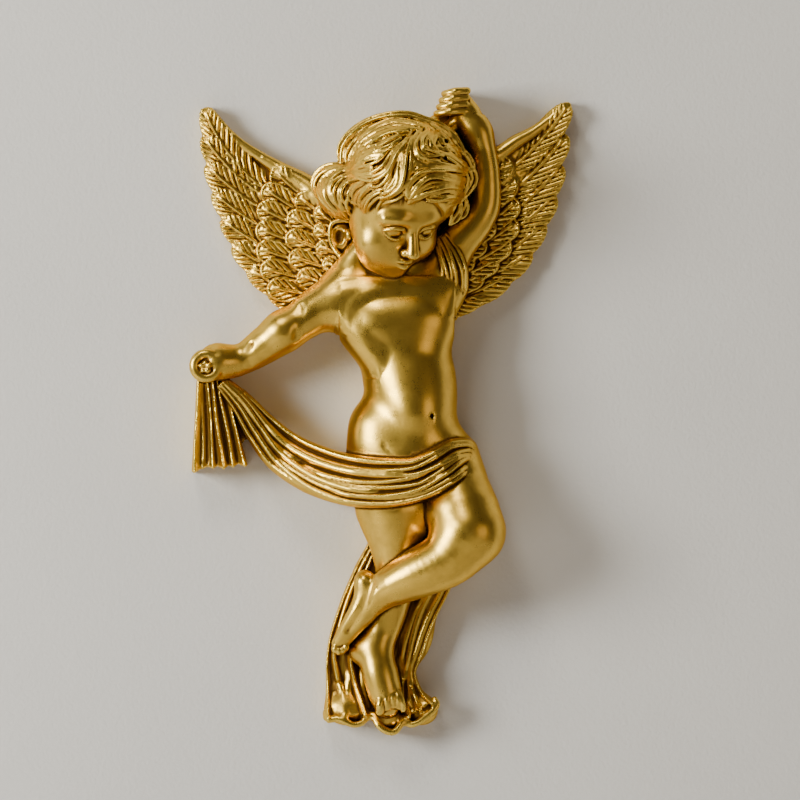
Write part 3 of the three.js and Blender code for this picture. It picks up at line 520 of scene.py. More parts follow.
class Clay:
    """A lattice of distances that forms are pressed into, stored as right by up by out."""

    def __init__(self, low: Station = LOW, high: Station = HIGH) -> None:
        """Makes a lattice of air over a box of the grid. All lattices share the same samples.

        Args:
            low: the box's lowest corner, as (right, out, up).
            high: its highest corner.
        """
        self.first = np.floor((np.maximum(low, LOW) - LOW) / STEP).astype(int)
        self.last = np.ceil((np.minimum(high, HIGH) - LOW) / STEP).astype(int) + 1
        self.axes = [
            (LOW[i] + STEP * np.arange(self.first[i], self.last[i])).astype(np.float32) for i in range(3)
        ]
        shape = [len(self.axes[i]) for i in (0, 2, 1)]
        self.values = np.full(shape, AIR, np.float32)

    def window(self, low: Array, high: Array) -> tuple[tuple[slice, slice, slice], list[Array]]:
        """The part of the lattice that is in a box.

        Args:
            low: the box's lowest corner.
            high: its highest corner.

        Returns:
            The part's slices, and its right, out and up, shaped to broadcast.
        """
        cuts = [slice(*np.searchsorted(a, (lo, hi))) for a, lo, hi in zip(self.axes, low, high)]
        x, y, z = (a[c] for a, c in zip(self.axes, cuts))
        return (cuts[0], cuts[2], cuts[1]), [x[:, None, None], y[None, None, :], z[None, :, None]]

    def press(self, form: "Ball | Limb | Relief", reach: float = FILLET) -> "Clay":
        """Adds a form, with a fillet where it meets what is there.

        Args:
            form: the form.
            reach: how near the two are where the fillet starts.

        Returns:
            This lattice.
        """
        low, high = form.bounds()
        room = reach + 2 * STEP
        place, axes = self.window(low - room, high + room)
        self.values[place] = join(self.values[place], form.distance(*axes), reach)
        return self

    def cut(self, form: "Ball | Limb | Relief", reach: float = FILLET) -> "Clay":
        """Cuts a form away, with the same fillet.

        Args:
            form: the form.
            reach: how near the two are where the fillet starts.

        Returns:
            This lattice.
        """
        low, high = form.bounds()
        room = reach + 2 * STEP
        place, axes = self.window(low - room, high + room)
        self.values[place] = meet(self.values[place], -form.distance(*axes), reach)
        return self

    def add(self, other: "Clay", reach: float = FILLET) -> "Clay":
        """Adds another lattice, which keeps its own edges where reach is small.

        Args:
            other: a lattice within this one's box.
            reach: how near the two are where the fillet starts.

        Returns:
            This lattice.
        """
        start = other.first - self.first
        stop = other.last - self.first
        place = tuple(slice(start[i], stop[i]) for i in (0, 2, 1))
        self.values[place] = join(self.values[place], other.values, reach)
        return self

    def sweep_back(self) -> "Clay":
        """Fills the relief back towards the wall, as a casting from an open mould is filled.

        Each sample is the least of those in front of it, with the taper added on the way, so a form
        thinner than the taper draws in ends short of the wall. The first layer is air, so that the
        skin closes on the wall's plane.

        Returns:
            This lattice.
        """
        rise = (TAPER * STEP * np.arange(len(self.axes[1]))).astype(np.float32)
        swept = np.minimum.accumulate((self.values + rise)[:, :, ::-1], axis=2)[:, :, ::-1]
        self.values = swept - rise
        self.values[:, :, 0] = np.maximum(-self.values[:, :, 1], STEP / 2)
        return self

    def hollows(self, reach: int) -> Array:
        """How much clay is near each sample: the clay's share from 0 to 1, blurred twice on each axis.

        Args:
            reach: the blur's half width, in samples.

        Returns:
            About 0.5 on a flat face, more in a hollow and less on a ridge.
        """
        share = np.clip(0.5 - self.values / (2 * STEP), 0, 1)
        for axis in (0, 1, 2, 0, 1, 2):
            pad = [(0, 0)] * 3
            pad[axis] = (reach + 1, reach)
            total = np.cumsum(np.pad(share, pad, mode="edge"), axis=axis, dtype=np.float32)
            size = share.shape[axis]
            ahead = np.take(total, np.arange(2 * reach + 1, 2 * reach + 1 + size), axis=axis)
            behind = np.take(total, np.arange(size), axis=axis)
            share = (ahead - behind) / (2 * reach + 1)
        return share

    def read(self, samples: Array, places: Array) -> Array:
        """Samples read at places, by the eight nearest, each weighted by how near it is.

        Args:
            samples: one number for each sample of the lattice.
            places: one (right, out, up) to a row.

        Returns:
            One number for each place.
        """
        local = (places - LOW) / STEP - self.first
        at = np.clip(local[:, [0, 2, 1]], 0, np.array(samples.shape) - 1.001)
        base = np.floor(at).astype(int)
        part = at - base
        total = np.zeros(len(places))
        for corner in np.ndindex(2, 2, 2):
            weight = np.prod(np.where(corner, part, 1 - part), axis=1)
            total += weight * samples[tuple((base + corner).T)]
        return total

    def skin(self) -> tuple[Array, Array]:
        """The closed skin, by surface nets.

        Each lattice cell that the surface crosses gets one point, the mean of the crossings of its
        edges. Each lattice edge that the surface crosses gets a square, through the points of the four
        cells round it. The points in the first layer of cells lie on the wall's plane.

        Returns:
            The points, one (right, out, up) to a row, and the squares, four points to a row.
        """
        v = self.values
        shape = v.shape
        inside = v < 0
        count = np.zeros([n - 1 for n in shape], np.uint8)
        for i, k, j in np.ndindex(2, 2, 2):
            count += inside[i : shape[0] - 1 + i, k : shape[1] - 1 + k, j : shape[2] - 1 + j]
        cells = np.argwhere((count > 0) & (count < 8))
        corners = np.array(list(np.ndindex(2, 2, 2)))
        at = np.stack([v[tuple((cells + c).T)] for c in corners], axis=1)
        total = np.zeros((len(cells), 3))
        crossings = np.zeros(len(cells))
        for a, b in ((a, b) for a in range(8) for b in range(a + 1, 8)):
            if np.abs(corners[a] - corners[b]).sum() != 1:
                continue
            crossed = (at[:, a] < 0) != (at[:, b] < 0)
            t = np.where(crossed, at[:, a] / np.where(crossed, at[:, a] - at[:, b], 1), 0)
            total += crossed[:, None] * (corners[a] + t[:, None] * (corners[b] - corners[a]))
            crossings += crossed
        points = cells + total / crossings[:, None]
        points[cells[:, 2] == 0, 2] = 0.5
        places = LOW + STEP * (points[:, [0, 2, 1]] + self.first)

        scale = np.array([shape[1] * shape[2], shape[2], 1])
        keys = cells @ scale
        squares = []
        for axis in range(3):
            one = np.eye(3, dtype=int)[axis]
            ends = inside[one[0] :, one[1] :, one[2] :]
            starts = inside[: shape[0] - one[0], : shape[1] - one[1], : shape[2] - one[2]]
            edges = np.argwhere(ends != starts)
            others = [n for n in range(3) if n != axis]
            edges = edges[(edges[:, others] > 0).all(axis=1)]
            key = edges @ scale
            p, q = scale[others[0]], scale[others[1]]
            ring = np.searchsorted(keys, np.stack([key, key - p, key - p - q, key - q], axis=1))
            turned = inside[tuple(edges.T)] ^ (axis == 1)
            squares.append(np.where(turned[:, None], ring, ring[:, ::-1]))
        return places, np.vstack(squares)


@dataclass
class FeatherRow:
    """A row of feathers: the line of their tips, and how each measure changes along it.

    Args:
        tips: (right, up) points on the line that the tips follow.
        count: how many feathers there are.
        angles: how far each points up from its own side, in degrees.
        lengths: from tip to root.
        widths: across the widest part.
        outs: how far the edges stand from the wall.
        bends: how far the quills have swung inwards at the root.
        points: how pointed the tips are.
        rim: the height of the rolled rims.
    """

    tips: Sequence[Station]
    count: int
    angles: Sequence[float]
    lengths: Sequence[float]
    widths: Sequence[float]
    outs: Sequence[float]
    bends: Sequence[float] = (0.0, 0.0)
    points: Sequence[float] = (1.25, 1.25)
    rim: float = 0.0


@dataclass
class Wing:
    """A wing: a smooth bone along its upper edge with a web under it, and rows of feathers."""

    side: int
    bone: Sequence[Station]
    rows: Sequence[FeatherRow]
    row_step: float = 3.7

    def model(self, clay: Clay) -> None:
        """Presses the rows, from the long feathers up, then the web and the bone.

        Args:
            clay: the lattice.
        """
        for level, row in enumerate(self.rows):
            line = spline(np.array(row.tips, float), 24)
            run = np.concatenate([[0], np.cumsum(np.linalg.norm(np.diff(line, axis=0), axis=1))])
            for i in reversed(range(row.count)):
                t = i / (row.count - 1)
                tip = [float(np.interp(t * run[-1], run, line[:, n])) for n in (0, 1)]
                up = math.radians(float(along(row.angles, t)))
                angle = up if self.side > 0 else math.pi - up
                out = float(along(row.outs, t)) + level * self.row_step
                bend = -self.side * float(along(row.bends, t))
                sizes = float(along(row.lengths, t)), float(along(row.widths, t))
                point = float(along(row.points, t))
                clay.press(Feather(tip, angle, *sizes, out, bend, point, row.rim).relief(), 0.8)
        web = [(x, y - 7, z - 9, r + 1) for x, y, z, r in self.bone]
        clay.press(Limb(web), 3)
        clay.press(Limb(self.bone), 2)


@dataclass
class Wings:
    """Both wings, and the low webs that close the hollows between them, the head and the arm."""

    left: Wing = field(
        default_factory=lambda: Wing(
            -1,
            [(-56, 26, 60, 14), (-76, 24, 74, 13), (-92, 22, 87, 10), (-112, 20, 99, 7.5),
             (-134, 18, 112.5, 5.5), (-153, 17, 126, 4), (-168, 16, 141, 2.5), (-184, 15, 160, 1.8)],
            [
                FeatherRow([(-191, 164), (-191, 118), (-177, 60), (-156, 12), (-108, -40)], 9,
                           [72, 50, 40, 34, 26, 16], [102, 92, 80, 62, 44], [31, 37, 34, 32, 28],
                           [17, 17, 17, 18], [34, 12, 6, 4], [3.4, 2.6, 2.2, 2.0]),
                FeatherRow([(-122, 102), (-134, 80), (-139, 42), (-137, 12), (-128, -16)], 7,
                           [48, 30, 22, 14], [44, 50, 44], [26, 27, 25], [20, 20, 20], [4, 2],
                           [1.2, 1.2], 2.0),
                FeatherRow([(-98, 76), (-107, 56), (-108, 22), (-97, -6), (-84, -20)], 6, [44, 24, 18],
                           [34, 38, 34], [24, 24], [22, 22, 22], [3, 2], [1.15, 1.15], 2.0),
                FeatherRow([(-80, 62), (-81, 44), (-79, 26), (-73, 8)], 4, [40, 18], [24, 30],
                           [18, 19], [24, 24], [0, 0], [1.1, 1.1], 1.6),
            ],
        )
    )
    right: Wing = field(
        default_factory=lambda: Wing(
            1,
            [(70, 26, 94, 14), (88, 24, 106, 10), (104, 22, 116, 7.5), (120, 20, 127.5, 7),
             (138, 18, 138, 5.5), (154, 16, 150.5, 4), (166, 15, 161, 3), (173, 15, 165, 2.4)],
            [
                FeatherRow([(174, 167), (170, 122), (156, 62), (128, 8), (66, -38)], 9,
                           [58, 52, 44, 36, 28, 18], [98, 88, 72, 54, 36], [28, 36, 34, 32, 28],
                           [17, 17, 17, 18], [18, 8, 4, 3], [2.3, 2.0, 1.9, 1.9]),
                FeatherRow([(114, 112), (122, 78), (120, 40), (98, 6), (72, -16)], 8, [50, 42, 32, 24],
                           [36, 38, 32], [27, 26, 24], [20, 20, 21], [3, 2], [1.15, 1.15], 2.0),
                FeatherRow([(98, 88), (102, 60), (90, 30), (66, -2)], 6, [46, 40, 30],
                           [28, 28], [24, 22], [22, 22, 22], [2, 2], [1.1, 1.1], 1.8),
            ],
        )
    )

    def model(self) -> Clay:
        """The wings in clay.

        Returns:
            Its lattice.
        """
        clay = Clay((-218, 0, -80), (194, 60, 190))
        self.left.model(clay)
        self.right.model(clay)
        for centre, radii in (
            ((-48, 18, 34), (36, 12, 46)),
            ((-64, 16, 10), (18, 8, 18)),
            ((62, 14, 60), (34, 10, 74)),
            ((-40, 26, 84), (34, 26, 28)),
            ((50, 20, 132), (24, 16, 26)),
            ((-4, 22, 120), (44, 20, 34)),
            ((106, 14, 92), (24, 12, 24)),
        ):
            clay.press(Ball(centre, radii), 6)
        return clay


@dataclass
class Torso:
    """The chest, belly, hips, shoulders and neck, with the navel and the creases of a plump child."""

    soft: float = 16.0

    def model(self) -> Clay:
        """The torso in clay.

        Returns:
            Its lattice.
        """
        clay = Clay((-100, 0, -240), (100, 110, 60))
        # The chest, the belly, the hips and the near hip
        clay.press(Ball((2, 38, -56), (54, 44, 46)))
        clay.press(Ball((13, 41, -102), (46, 44, 48)), self.soft)
        clay.press(Ball((21, 44, -142), (39, 47, 42)), 26)
        clay.press(Ball((16, 40, -184), (64, 46, 42)), self.soft)
        clay.press(Ball((-10, 42, -160), (37, 37, 38)), 12)
        # The breasts and the shoulders
        clay.press(Ball((-24, 53, -50), (30, 21, 26)), 24)
        clay.press(Ball((30, 52, -48), (28, 21, 26)), 24)
        clay.press(Limb([(-54, 44, -34, 26), (-30, 46, -20, 24), (0, 44, -16, 24), (30, 44, -16, 24),
                         (48, 42, -18, 24)]), 22)
        # The neck, the edge of the ribs and the muscle from the ear to the near shoulder
        clay.press(Limb([(0, 38, -20, 28), (4, 44, 14, 26)]), 12)
        clay.press(Limb([(-42, 50, -46, 12), (-33, 56, -62, 14), (-23, 61, -80, 13),
                         (-12, 61, -92, 10)]), 20)
        clay.press(Limb([(-28, 50, 26, 13), (-40, 48, 8, 15), (-52, 44, -12, 18)]), 14)
        # The creases over the waist and over the sash, and the navel
        clay.cut(Limb([(-28, 76, -114, 0.4), (-18, 83, -113, 0.6), (-8, 88, -109, 0.2)]), 7)
        clay.cut(Limb([(-11, 84, -176, 2.2), (-5, 87, -182, 3.0), (2, 90, -190, 3.0),
                       (8, 90, -194, 2.0)]), 2.5)
        clay.cut(Ball((37, 91, -146), (2.5, 10, 3.2)), 1.6)
        return clay


@dataclass
class HeldArm:
    """The arm that is held out, with its fist: a finger curls round a knob of gathered cloth."""

    arm: Sequence[Station] = (
        (-52, 46, -28, 25), (-74, 48, -38, 23), (-96, 50, -53, 20), (-110, 50, -62, 21),
        (-128, 48, -74, 19), (-146, 46, -86, 16), (-156, 46, -91, 15),
    )
    ring: float = 12.0
    ring_centre: Station = (-188, -96)
    knob: Station = (-189, -97)
    gathers: Sequence[float] = (3.4, 2.4, 3.0, 2.6, 3.6)

    def model(self) -> Clay:
        """The arm in clay.

        Returns:
            Its lattice.
        """
        clay = Clay((-218, 0, -140), (0, 100, 20))
        clay.press(Limb(self.arm))
        # The elbow, the fist, and the creases of the wrist and the upper arm
        clay.press(Ball((-112, 54, -60), (18, 18, 17)), 10)
        clay.press(Ball((-176, 46, -92), (21, 22, 19)), 10)
        clay.cut(Limb([(-143, 62, -74, 1.0), (-147, 66, -86, 1.6), (-143, 60, -98, 1.0)]), 4)
        clay.cut(Limb([(-94, 68, -36, 1.0), (-95, 76, -50, 1.6), (-98, 70, -68, 1.0)]), 7)
        # The finger in a ring, and the knob of cloth with its gathers inside it
        turns = np.radians(np.linspace(40, 360, 9))
        right, up = self.ring_centre
        finger = [(right + self.ring * math.cos(t), 62, up + self.ring * math.sin(t), 5) for t in turns]
        clay.press(Limb(finger, spans=3), 1.5)
        right, up = self.knob
        clay.press(Ball((right, 60, up), (7, 8, 7)), 0.6)
        for n, size in enumerate(self.gathers):
            t = math.radians(72 * n + 20)
            centre = (right + 4 * math.cos(t), 66, up + 4.4 * math.sin(t))
            clay.press(Ball(centre, (size, 4, size * 0.8)), 1)
        return clay


@dataclass
class RaisedArm:
    """The arm that is raised behind the head, with four fingers curled over the palm."""

    arm: Sequence[Station] = (
        (44, 38, -4, 24), (62, 42, 26, 20), (80, 46, 46, 17), (90, 48, 64, 15), (92, 50, 90, 13),
        (89, 50, 116, 12.5), (82, 50, 138, 13),
    )
    fingers: int = 4
    finger_top: float = 178.0
    finger_pitch: float = 6.6
    finger_shift: float = 2.6

    def model(self) -> Clay:
        """The arm in clay.

        Returns:
            Its lattice.
        """
        clay = Clay((0, 0, -50), (130, 90, 200))
        clay.press(Limb(self.arm))
        # The hand, its four fingers and its thumb
        clay.press(Limb([(83, 50, 136, 12), (72, 50, 154, 14), (62, 48, 168, 13)]), 12)
        for n in range(self.fingers):
            up = self.finger_top - n * self.finger_pitch
            inward = self.finger_shift * n
            clay.press(Limb([(72 - inward * 0.3, 61, up, 3.6), (60 - inward * 0.6, 68, up - 1, 4.0),
                             (51 - inward, 63, up - 3, 3.6), (49 - inward, 54, up - 3, 3.2)], spans=3), 0.6)
        clay.press(Limb([(62, 50, 148, 7), (52, 48, 140, 7), (44, 46, 134, 6)]), 3)
        return clay


@dataclass
class StandingLeg:
    """The leg that the figure stands on, with its foot hanging to the hem."""

    leg: Sequence[Station] = (
        (-6, 42, -196, 38), (-3, 44, -236, 37), (1, 44, -268, 28), (2, 42, -296, 22),
        (-4, 38, -330, 19), (-13, 34, -358, 18), (-20, 34, -376, 17),
    )
    toes: Sequence[Station] = ((-15, -438), (-8, -434), (-2, -432), (3.5, -433), (8, -436))
    great_toe: float = 4.6
    toe_taper: float = 0.35

    def model(self) -> Clay:
        """The leg in clay.

        Returns:
            Its lattice.
        """
        clay = Clay((-80, 0, -480), (80, 100, -140))
        clay.press(Limb(self.leg))
        # The thigh's inner side, the heel and the foot
        clay.press(Ball((22, 46, -232), (22, 24, 36)), 10)
        clay.press(Ball((-34, 30, -380), (12, 14, 14)), 8)
        clay.press(Limb([(-20, 36, -378, 17), (-15, 40, -402, 18), (-10, 40, -422, 17),
                         (-8, 36, -434, 13)]), 8)
        # The toes, from the great toe on, and the gaps between them
        for n, (right, up) in enumerate(self.toes):
            radius = self.great_toe - self.toe_taper * n
            clay.press(Limb([(right * 0.8 - 2, 50, up + 15, radius - 1), (right, 54, up + 4, radius - 0.8),
                             (right, 49, up - 2, radius)], spans=3), 0.7)
            gap = right + 3.4
            clay.cut(Limb([(gap * 0.9 - 1, 60, up + 8, 0.8), (gap, 57, up, 1.2),
                           (gap, 50, up - 6, 0.8)]), 0.8)
        return clay


@dataclass
class CrossedLeg:
    """The leg that crosses in front, bent at the knee, with its foot pointed down and back."""

    thigh: Sequence[Station] = (
        (52, 44, -192, 34), (62, 56, -220, 33), (68, 66, -243, 37), (73, 72, -260, 37),
    )
    calf: Sequence[Station] = (
        (73, 74, -262, 35), (54, 76, -286, 29), (24, 72, -302, 25), (2, 66, -313, 21), (-16, 60, -324, 15),
    )
    foot: Sequence[Station] = (
        (-18, 58, -324, 15), (-32, 54, -342, 13), (-44, 48, -358, 10), (-55, 42, -376, 6),
    )
    sole: Sequence[Station] = (
        (-31, 60, -312, 8), (-36, 59, -332, 6.5), (-46, 54, -352, 6), (-58, 46, -372, 5),
    )
    toes: Sequence[Station] = ((-60, -378), (-56, -380), (-52, -379), (-49, -376))

    def model(self) -> Clay:
        """The leg in clay.

        Returns:
            Its lattice.
        """
        clay = Clay((-90, 0, -420), (130, 130, -130))
        clay.press(Limb(self.thigh))
        clay.press(Limb(self.calf), 6)
        # The heel, the ankle, the foot with its sole, the hollow along it, and the toes
        clay.press(Ball((-30, 54, -311), (11, 15, 12)), 6)
        clay.press(Ball((-13, 66, -308), (7, 9, 7)), 5)
        clay.press(Limb(self.foot), 8)
        clay.press(Limb(self.sole), 5)
        clay.cut(Limb([(-23, 75, -311, 1.0), (-28, 73, -326, 2.2), (-36, 68, -344, 2.0),
                       (-47, 58, -360, 0.6)]), 6)
        for right, up in self.toes:
            clay.press(Ball((right, 46, up), (3.4, 6, 4.6)), 1)
        return clay


@dataclass
class Cloth:
    """The sash, the tail under the fist, the scarf, the strap by the near wing and the drape."""

    def sash(self) -> Strip:
        """The sash, from the fist across the hips and round the far side.

        Returns:
            The strip.
        """
        stations = [
            (-173, -112, 7, 44), (-152, -134, 12, 40), (-134, -158, 17, 38), (-112, -181, 22, 42),
            (-81, -199, 25, 58), (-43, -210, 26, 76), (-7, -212, 25, 86), (23, -208, 22, 90),
            (48, -196, 21, 88), (63, -187, 20, 76), (74, -184, 16, 62), (81, -185, 9, 42),
        ]
        folds = [
            Fold(0.0, 1.0, -0.84, -0.86, 0.20, 8),
            Fold(0.40, 1.0, -0.50, -0.58, 0.17, 7),
            Fold(0.0, 0.66, -0.62, -0.22, 0.24, 7, sway=0.08),
            Fold(0.1, 1.0, -0.42, 0.02, 0.16, 7, sway=0.08),
            Fold(0.0, 0.56, -0.22, 0.40, 0.22, 8, sway=0.08),
            Fold(0.3, 1.0, 0.06, -0.28, 0.16, 6),
            Fold(0.14, 0.8, 0.04, 0.38, 0.15, 6, sway=0.07),
            Fold(0.0, 0.5, 0.22, 0.86, 0.24, 9, sway=0.08),
            Fold(0.36, 1.0, 0.56, 0.26, 0.18, 8, sway=0.07),
            Fold(0.2, 0.92, 0.42, 0.70, 0.17, 7, sway=0.08),
            Fold(0.5, 1.0, 0.86, 0.54, 0.16, 6),
            Fold(0.0, 1.0, 0.85, 0.86, 0.19, 8),
            Fold(0.60, 1.0, 0.24, -0.04, 0.14, 6),
            Fold(0.5, 0.9, -0.22, -0.02, 0.12, 5),
            Fold(0.0, 0.34, -0.06, 0.02, 0.16, 6),
        ]
        return Strip(stations, folds, crown=7)

    def tail(self) -> Strip:
        """The tail that hangs from the fist, in wide hollows between crisp ridges.

        Returns:
            The strip.
        """
        ridges = (
            (-0.94, 0.36, 9), (-0.5, 0.3, 8), (-0.12, 0.32, 10),
            (0.2, 0.24, 6), (0.6, 0.2, 4), (0.9, 0.5, 11),
        )
        folds = [Fold(0, 1, s, s, width, height, Ridge.CRISP, 0.03) for s, width, height in ridges]
        stations = [(-184, -110, 14, 40), (-180, -150, 20, 36), (-175, -198, 28, 34)]
        return Strip(stations, folds, crown=2, wave=5, flare=3)

    def scarf(self) -> Strip:
        """The scarf that comes from behind the far cheek and ends under the raised arm.

        Returns:
            The strip.
        """
        stations = [
            (44, 34, 8, 54), (53, 16, 12, 60), (59, -2, 14, 60), (60, -20, 13, 52), (57, -38, 6, 36),
        ]
        folds = [
            Fold(0, 1, -0.85, -0.9, 0.18, 7),
            Fold(0, 0.9, -0.5, -0.55, 0.18, 5),
            Fold(0, 1, -0.15, -0.1, 0.18, 7),
            Fold(0, 0.85, 0.2, 0.25, 0.18, 6),
            Fold(0, 1, 0.52, 0.5, 0.18, 7),
            Fold(0, 1, 0.86, 0.88, 0.18, 7),
        ]
        return Strip(stations, folds, crown=4)

    def near_drape(self) -> Strip:
        """The drape beside the crossed foot: a hollow panel inside a crisp rim.

        Returns:
            The strip.
        """
        stations = [
            (-13, -268, 10, 24), (-28, -301, 13, 22), (-44, -340, 13, 20), (-54, -380, 14, 20),
            (-52, -412, 17, 18), (-48, -446, 22, 22),
        ]
        folds = [
            Fold(0, 1, 0.90, 0.86, 0.20, 8, Ridge.CRISP),
            Fold(0, 0.56, 0.48, 0.52, 0.2, 6),
            Fold(0, 0.5, 0.05, 0.1, 0.2, 6),
            Fold(0.46, 0.82, 0.5, 0.32, 0.22, 8),
            Fold(0.58, 1, -0.66, -0.8, 0.24, 12),
            Fold(0.78, 1, 0.2, 0.0, 0.25, 4),
        ]
        return Strip(stations, folds, crown=2, wave=4, flare=6)

    def far_drape(self) -> Strip:
        """The drape that falls from under the calf and flares at the hem.

        Returns:
            The strip.
        """
        stations = [
            (54, -302, 9, 30), (41, -322, 12, 26), (28, -346, 13, 24), (17, -378, 13, 22),
            (11, -402, 10, 20), (15, -424, 13, 22), (24, -440, 17, 26),
        ]
        folds = [
            Fold(0, 1, -0.88, -0.86, 0.24, 8, Ridge.CRISP),
            Fold(0, 0.8, -0.3, -0.5, 0.26, 4),
            Fold(0, 0.7, 0.5, 0.0, 0.26, 4),
            Fold(0.1, 0.6, 0.85, 0.55, 0.2, 3),
            Fold(0.7, 1, 0.3, 0.7, 0.25, 8),
            Fold(0.76, 1, -0.3, -0.1, 0.22, 6),
        ]
        return Strip(stations, folds, crown=2, wave=3, flare=8)

    def back_cloth(self) -> Strip:
        """The plain cloth behind the standing foot.

        Returns:
            The strip.
        """
        stations = [(-8, -330, 26, 14), (-16, -390, 35, 17), (-14, -446, 40, 21)]
        folds = [Fold(0, 1, s, s, 0.16, 4) for s in (-0.8, -0.4, 0.0, 0.4, 0.8)]
        return Strip(stations, folds, crown=2)

    def hem(self) -> list[Limb]:
        """The turned-out lip of the hem, in three scallops.

        Returns:
            One limb for each scallop.
        """
        return [
            Limb([(-69, 24, -443, 2), (-66, 30, -449, 3), (-58, 32, -448, 3), (-50, 33, -451, 3),
                  (-41, 33, -454, 3), (-33, 32, -452, 3), (-27, 28, -446, 2)]),
            Limb([(-22, 30, -444, 2), (-17, 35, -454, 3), (-9, 36, -460, 3.4), (-1, 36, -461, 3.4),
                  (5, 35, -455, 3), (8, 31, -447, 2)]),
            Limb([(10, 30, -451, 2), (16, 33, -454, 3), (24, 34, -451, 3), (31, 34, -446, 3.2),
                  (38, 34, -440, 3.2), (42, 33, -434, 2.8), (40, 31, -428, 2)]),
        ]

    def model(self) -> Clay:
        """The cloth in clay.

        Returns:
            Its lattice.
        """
        clay = Clay((-218, 0, -480), (110, 120, 80))
        for strip in (
            self.sash(), self.tail(), self.scarf(), self.near_drape(), self.far_drape(), self.back_cloth()
        ):
            clay.press(strip.relief(), 1)
        # The swells over the hem's scallops, and its lip
        for swell in (
            Ball((-48, 15, -438), (22, 16, 17)),
            Ball((-7, 18, -446), (16, 16, 15)),
            Ball((26, 16, -440), (17, 16, 15)),
        ):
            clay.press(swell, 5)
        for lip in self.hem():
            clay.press(lip, 7)
        # The slit beside the foot, low cloth that closes the gaps to the wall, and the strap
        clay.cut(Ball((11, 40, -418), (3.4, 20, 20)), 2)
        clay.press(Ball((34, 16, -248), (20, 14, 40)), 3)
        clay.press(Ball((-153, 18, -146), (9, 14, 26)), 3)
        clay.press(Ball((14, 14, -350), (26, 10, 46)), 3)
        clay.press(Limb([(-70, 26, 62, 8), (-63, 28, 40, 8), (-54, 34, 20, 9)]), 6)
        return clay


HEAD = Pose(origin=(-3, 76, 67), bow=34, turn=31, tilt=-3)
SKULL = (10.5, 77, 90)


@dataclass
class Face:
    """The skull and the face: a calm child who looks down."""

    pose: Pose = HEAD

    def ball(self, centre: Station, radii: Station) -> Ball:
        """An ellipsoid on the head, as (right, front, up)."""
        return Ball(centre, radii, self.pose)

    def limb(self, stations: Sequence[Station]) -> Limb:
        """A limb on the head, as (right, front, up, radius)."""
        return Limb(self.pose.stations(stations))

    def model(self) -> Clay:
        """The head in clay.

        Returns:
            Its lattice.
        """
        clay = Clay((-90, 0, -30), (110, 160, 180))
        # The skull, the face over it, the jaw, the chin, the muzzle and the cheeks
        clay.press(Ball(SKULL, (54, 57, 54)))
        clay.press(self.ball((0, 6, -8), (45, 43, 44)), 12)
        clay.press(self.ball((0, 14, -32), (37, 31, 28)), 12)
        clay.press(self.ball((0, 33, -55), (14, 12, 11)), 10)
        clay.press(self.ball((0, 40, -40), (14, 11, 12)), 8)
        for side in (-1, 1):
            clay.press(self.ball((22 * side, 26, -30), (20, 19, 18)), 12)
        # The brow, and each eye: its socket, its ball, its lids, the line between them and the pupil
        clay.press(self.limb([(-28, 38, 5, 5), (-15, 45.5, 8, 5.5), (0, 45, 6, 5), (15, 45.5, 8, 5.5),
                              (28, 38, 5, 5)]), 9)
        for side in (-1, 1):
            clay.cut(self.ball((18.5 * side, 56.5, -5), (12, 12, 7)), 5)
            clay.press(self.ball((18 * side, 40, -6), (9.5, 8.2, 7)), 1.5)
            clay.press(self.limb([(8.5 * side, 46.5, -6.5, 1.4), (13 * side, 48.6, -1.6, 1.8),
                                  (19 * side, 48.4, -0.4, 2.0), (25 * side, 45.6, -2.4, 1.8),
                                  (29.5 * side, 41, -6.5, 1.2)]), 1.5)
            clay.press(self.limb([(9 * side, 46.5, -10.5, 1.1), (15 * side, 48.2, -13.5, 1.4),
                                  (22 * side, 46.5, -13, 1.4), (28.5 * side, 41.5, -9, 1.0)]), 1.5)
            clay.cut(self.limb([(9.5 * side, 49, -8.5, 0.6), (15 * side, 50.2, -10.4, 1.0),
                                (21 * side, 48.8, -10.2, 0.9), (28 * side, 43.5, -8, 0.5)]), 0.8)
            clay.cut(self.ball((17 * side, 50.5, -9.2), (2.4, 2.8, 1.8)), 0.6)
        # The nose with its tip, wings and nostrils, and the lips with the line between them
        clay.press(self.limb([(0, 45, 1, 4.5), (0, 50, -8, 4.8), (0, 55, -17, 5.6), (0, 58, -23, 6.3)]), 5)
        clay.press(self.ball((0, 60, -24.5), (6.6, 6, 5.4)), 2)
        for side in (-1, 1):
            clay.press(self.ball((6.4 * side, 54, -26), (4.2, 4.6, 4)), 2)
            clay.cut(self.ball((3.4 * side, 58, -30), (1.7, 2.4, 1.6)), 0.8)
            clay.press(self.limb([(9.5 * side, 47.5, -40, 1.4), (4.5 * side, 51.5, -37.4, 2.6),
                                  (0, 51.8, -38.4, 2.2)]), 2)
        clay.press(self.limb([(-7, 47, -43.2, 1.8), (0, 50.6, -45, 3.3), (7, 47, -43.2, 1.8)]), 2)
        clay.cut(self.limb([(-10, 48.5, -40.4, 0.7), (-5, 52.6, -41, 1.0), (0, 54, -41.6, 1.1),
                            (5, 52.6, -41, 1.0), (10, 48.5, -40.4, 0.7)]), 0.8)
        # The plump underside of the jaw, and the ear: its base, its rim, its knob and its hollow
        clay.press(Ball((-15, 77, 14), (20, 21, 17)), 10)
        clay.press(Ball((-54, 38, 33), (13, 11, 17)), 3)
        clay.press(Limb([(-43, 48, 48, 2.0), (-53, 49, 49, 2.2), (-63, 47, 46, 2.2), (-65, 46, 34, 2.0),
                         (-62, 46, 23, 2.0), (-56, 48, 15, 2.6)], spans=3), 2)
        clay.press(Ball((-46, 48, 35), (4.0, 6, 6.5)), 2)
        clay.cut(Ball((-56, 53, 33), (6.0, 11, 10)), 2)
        return clay


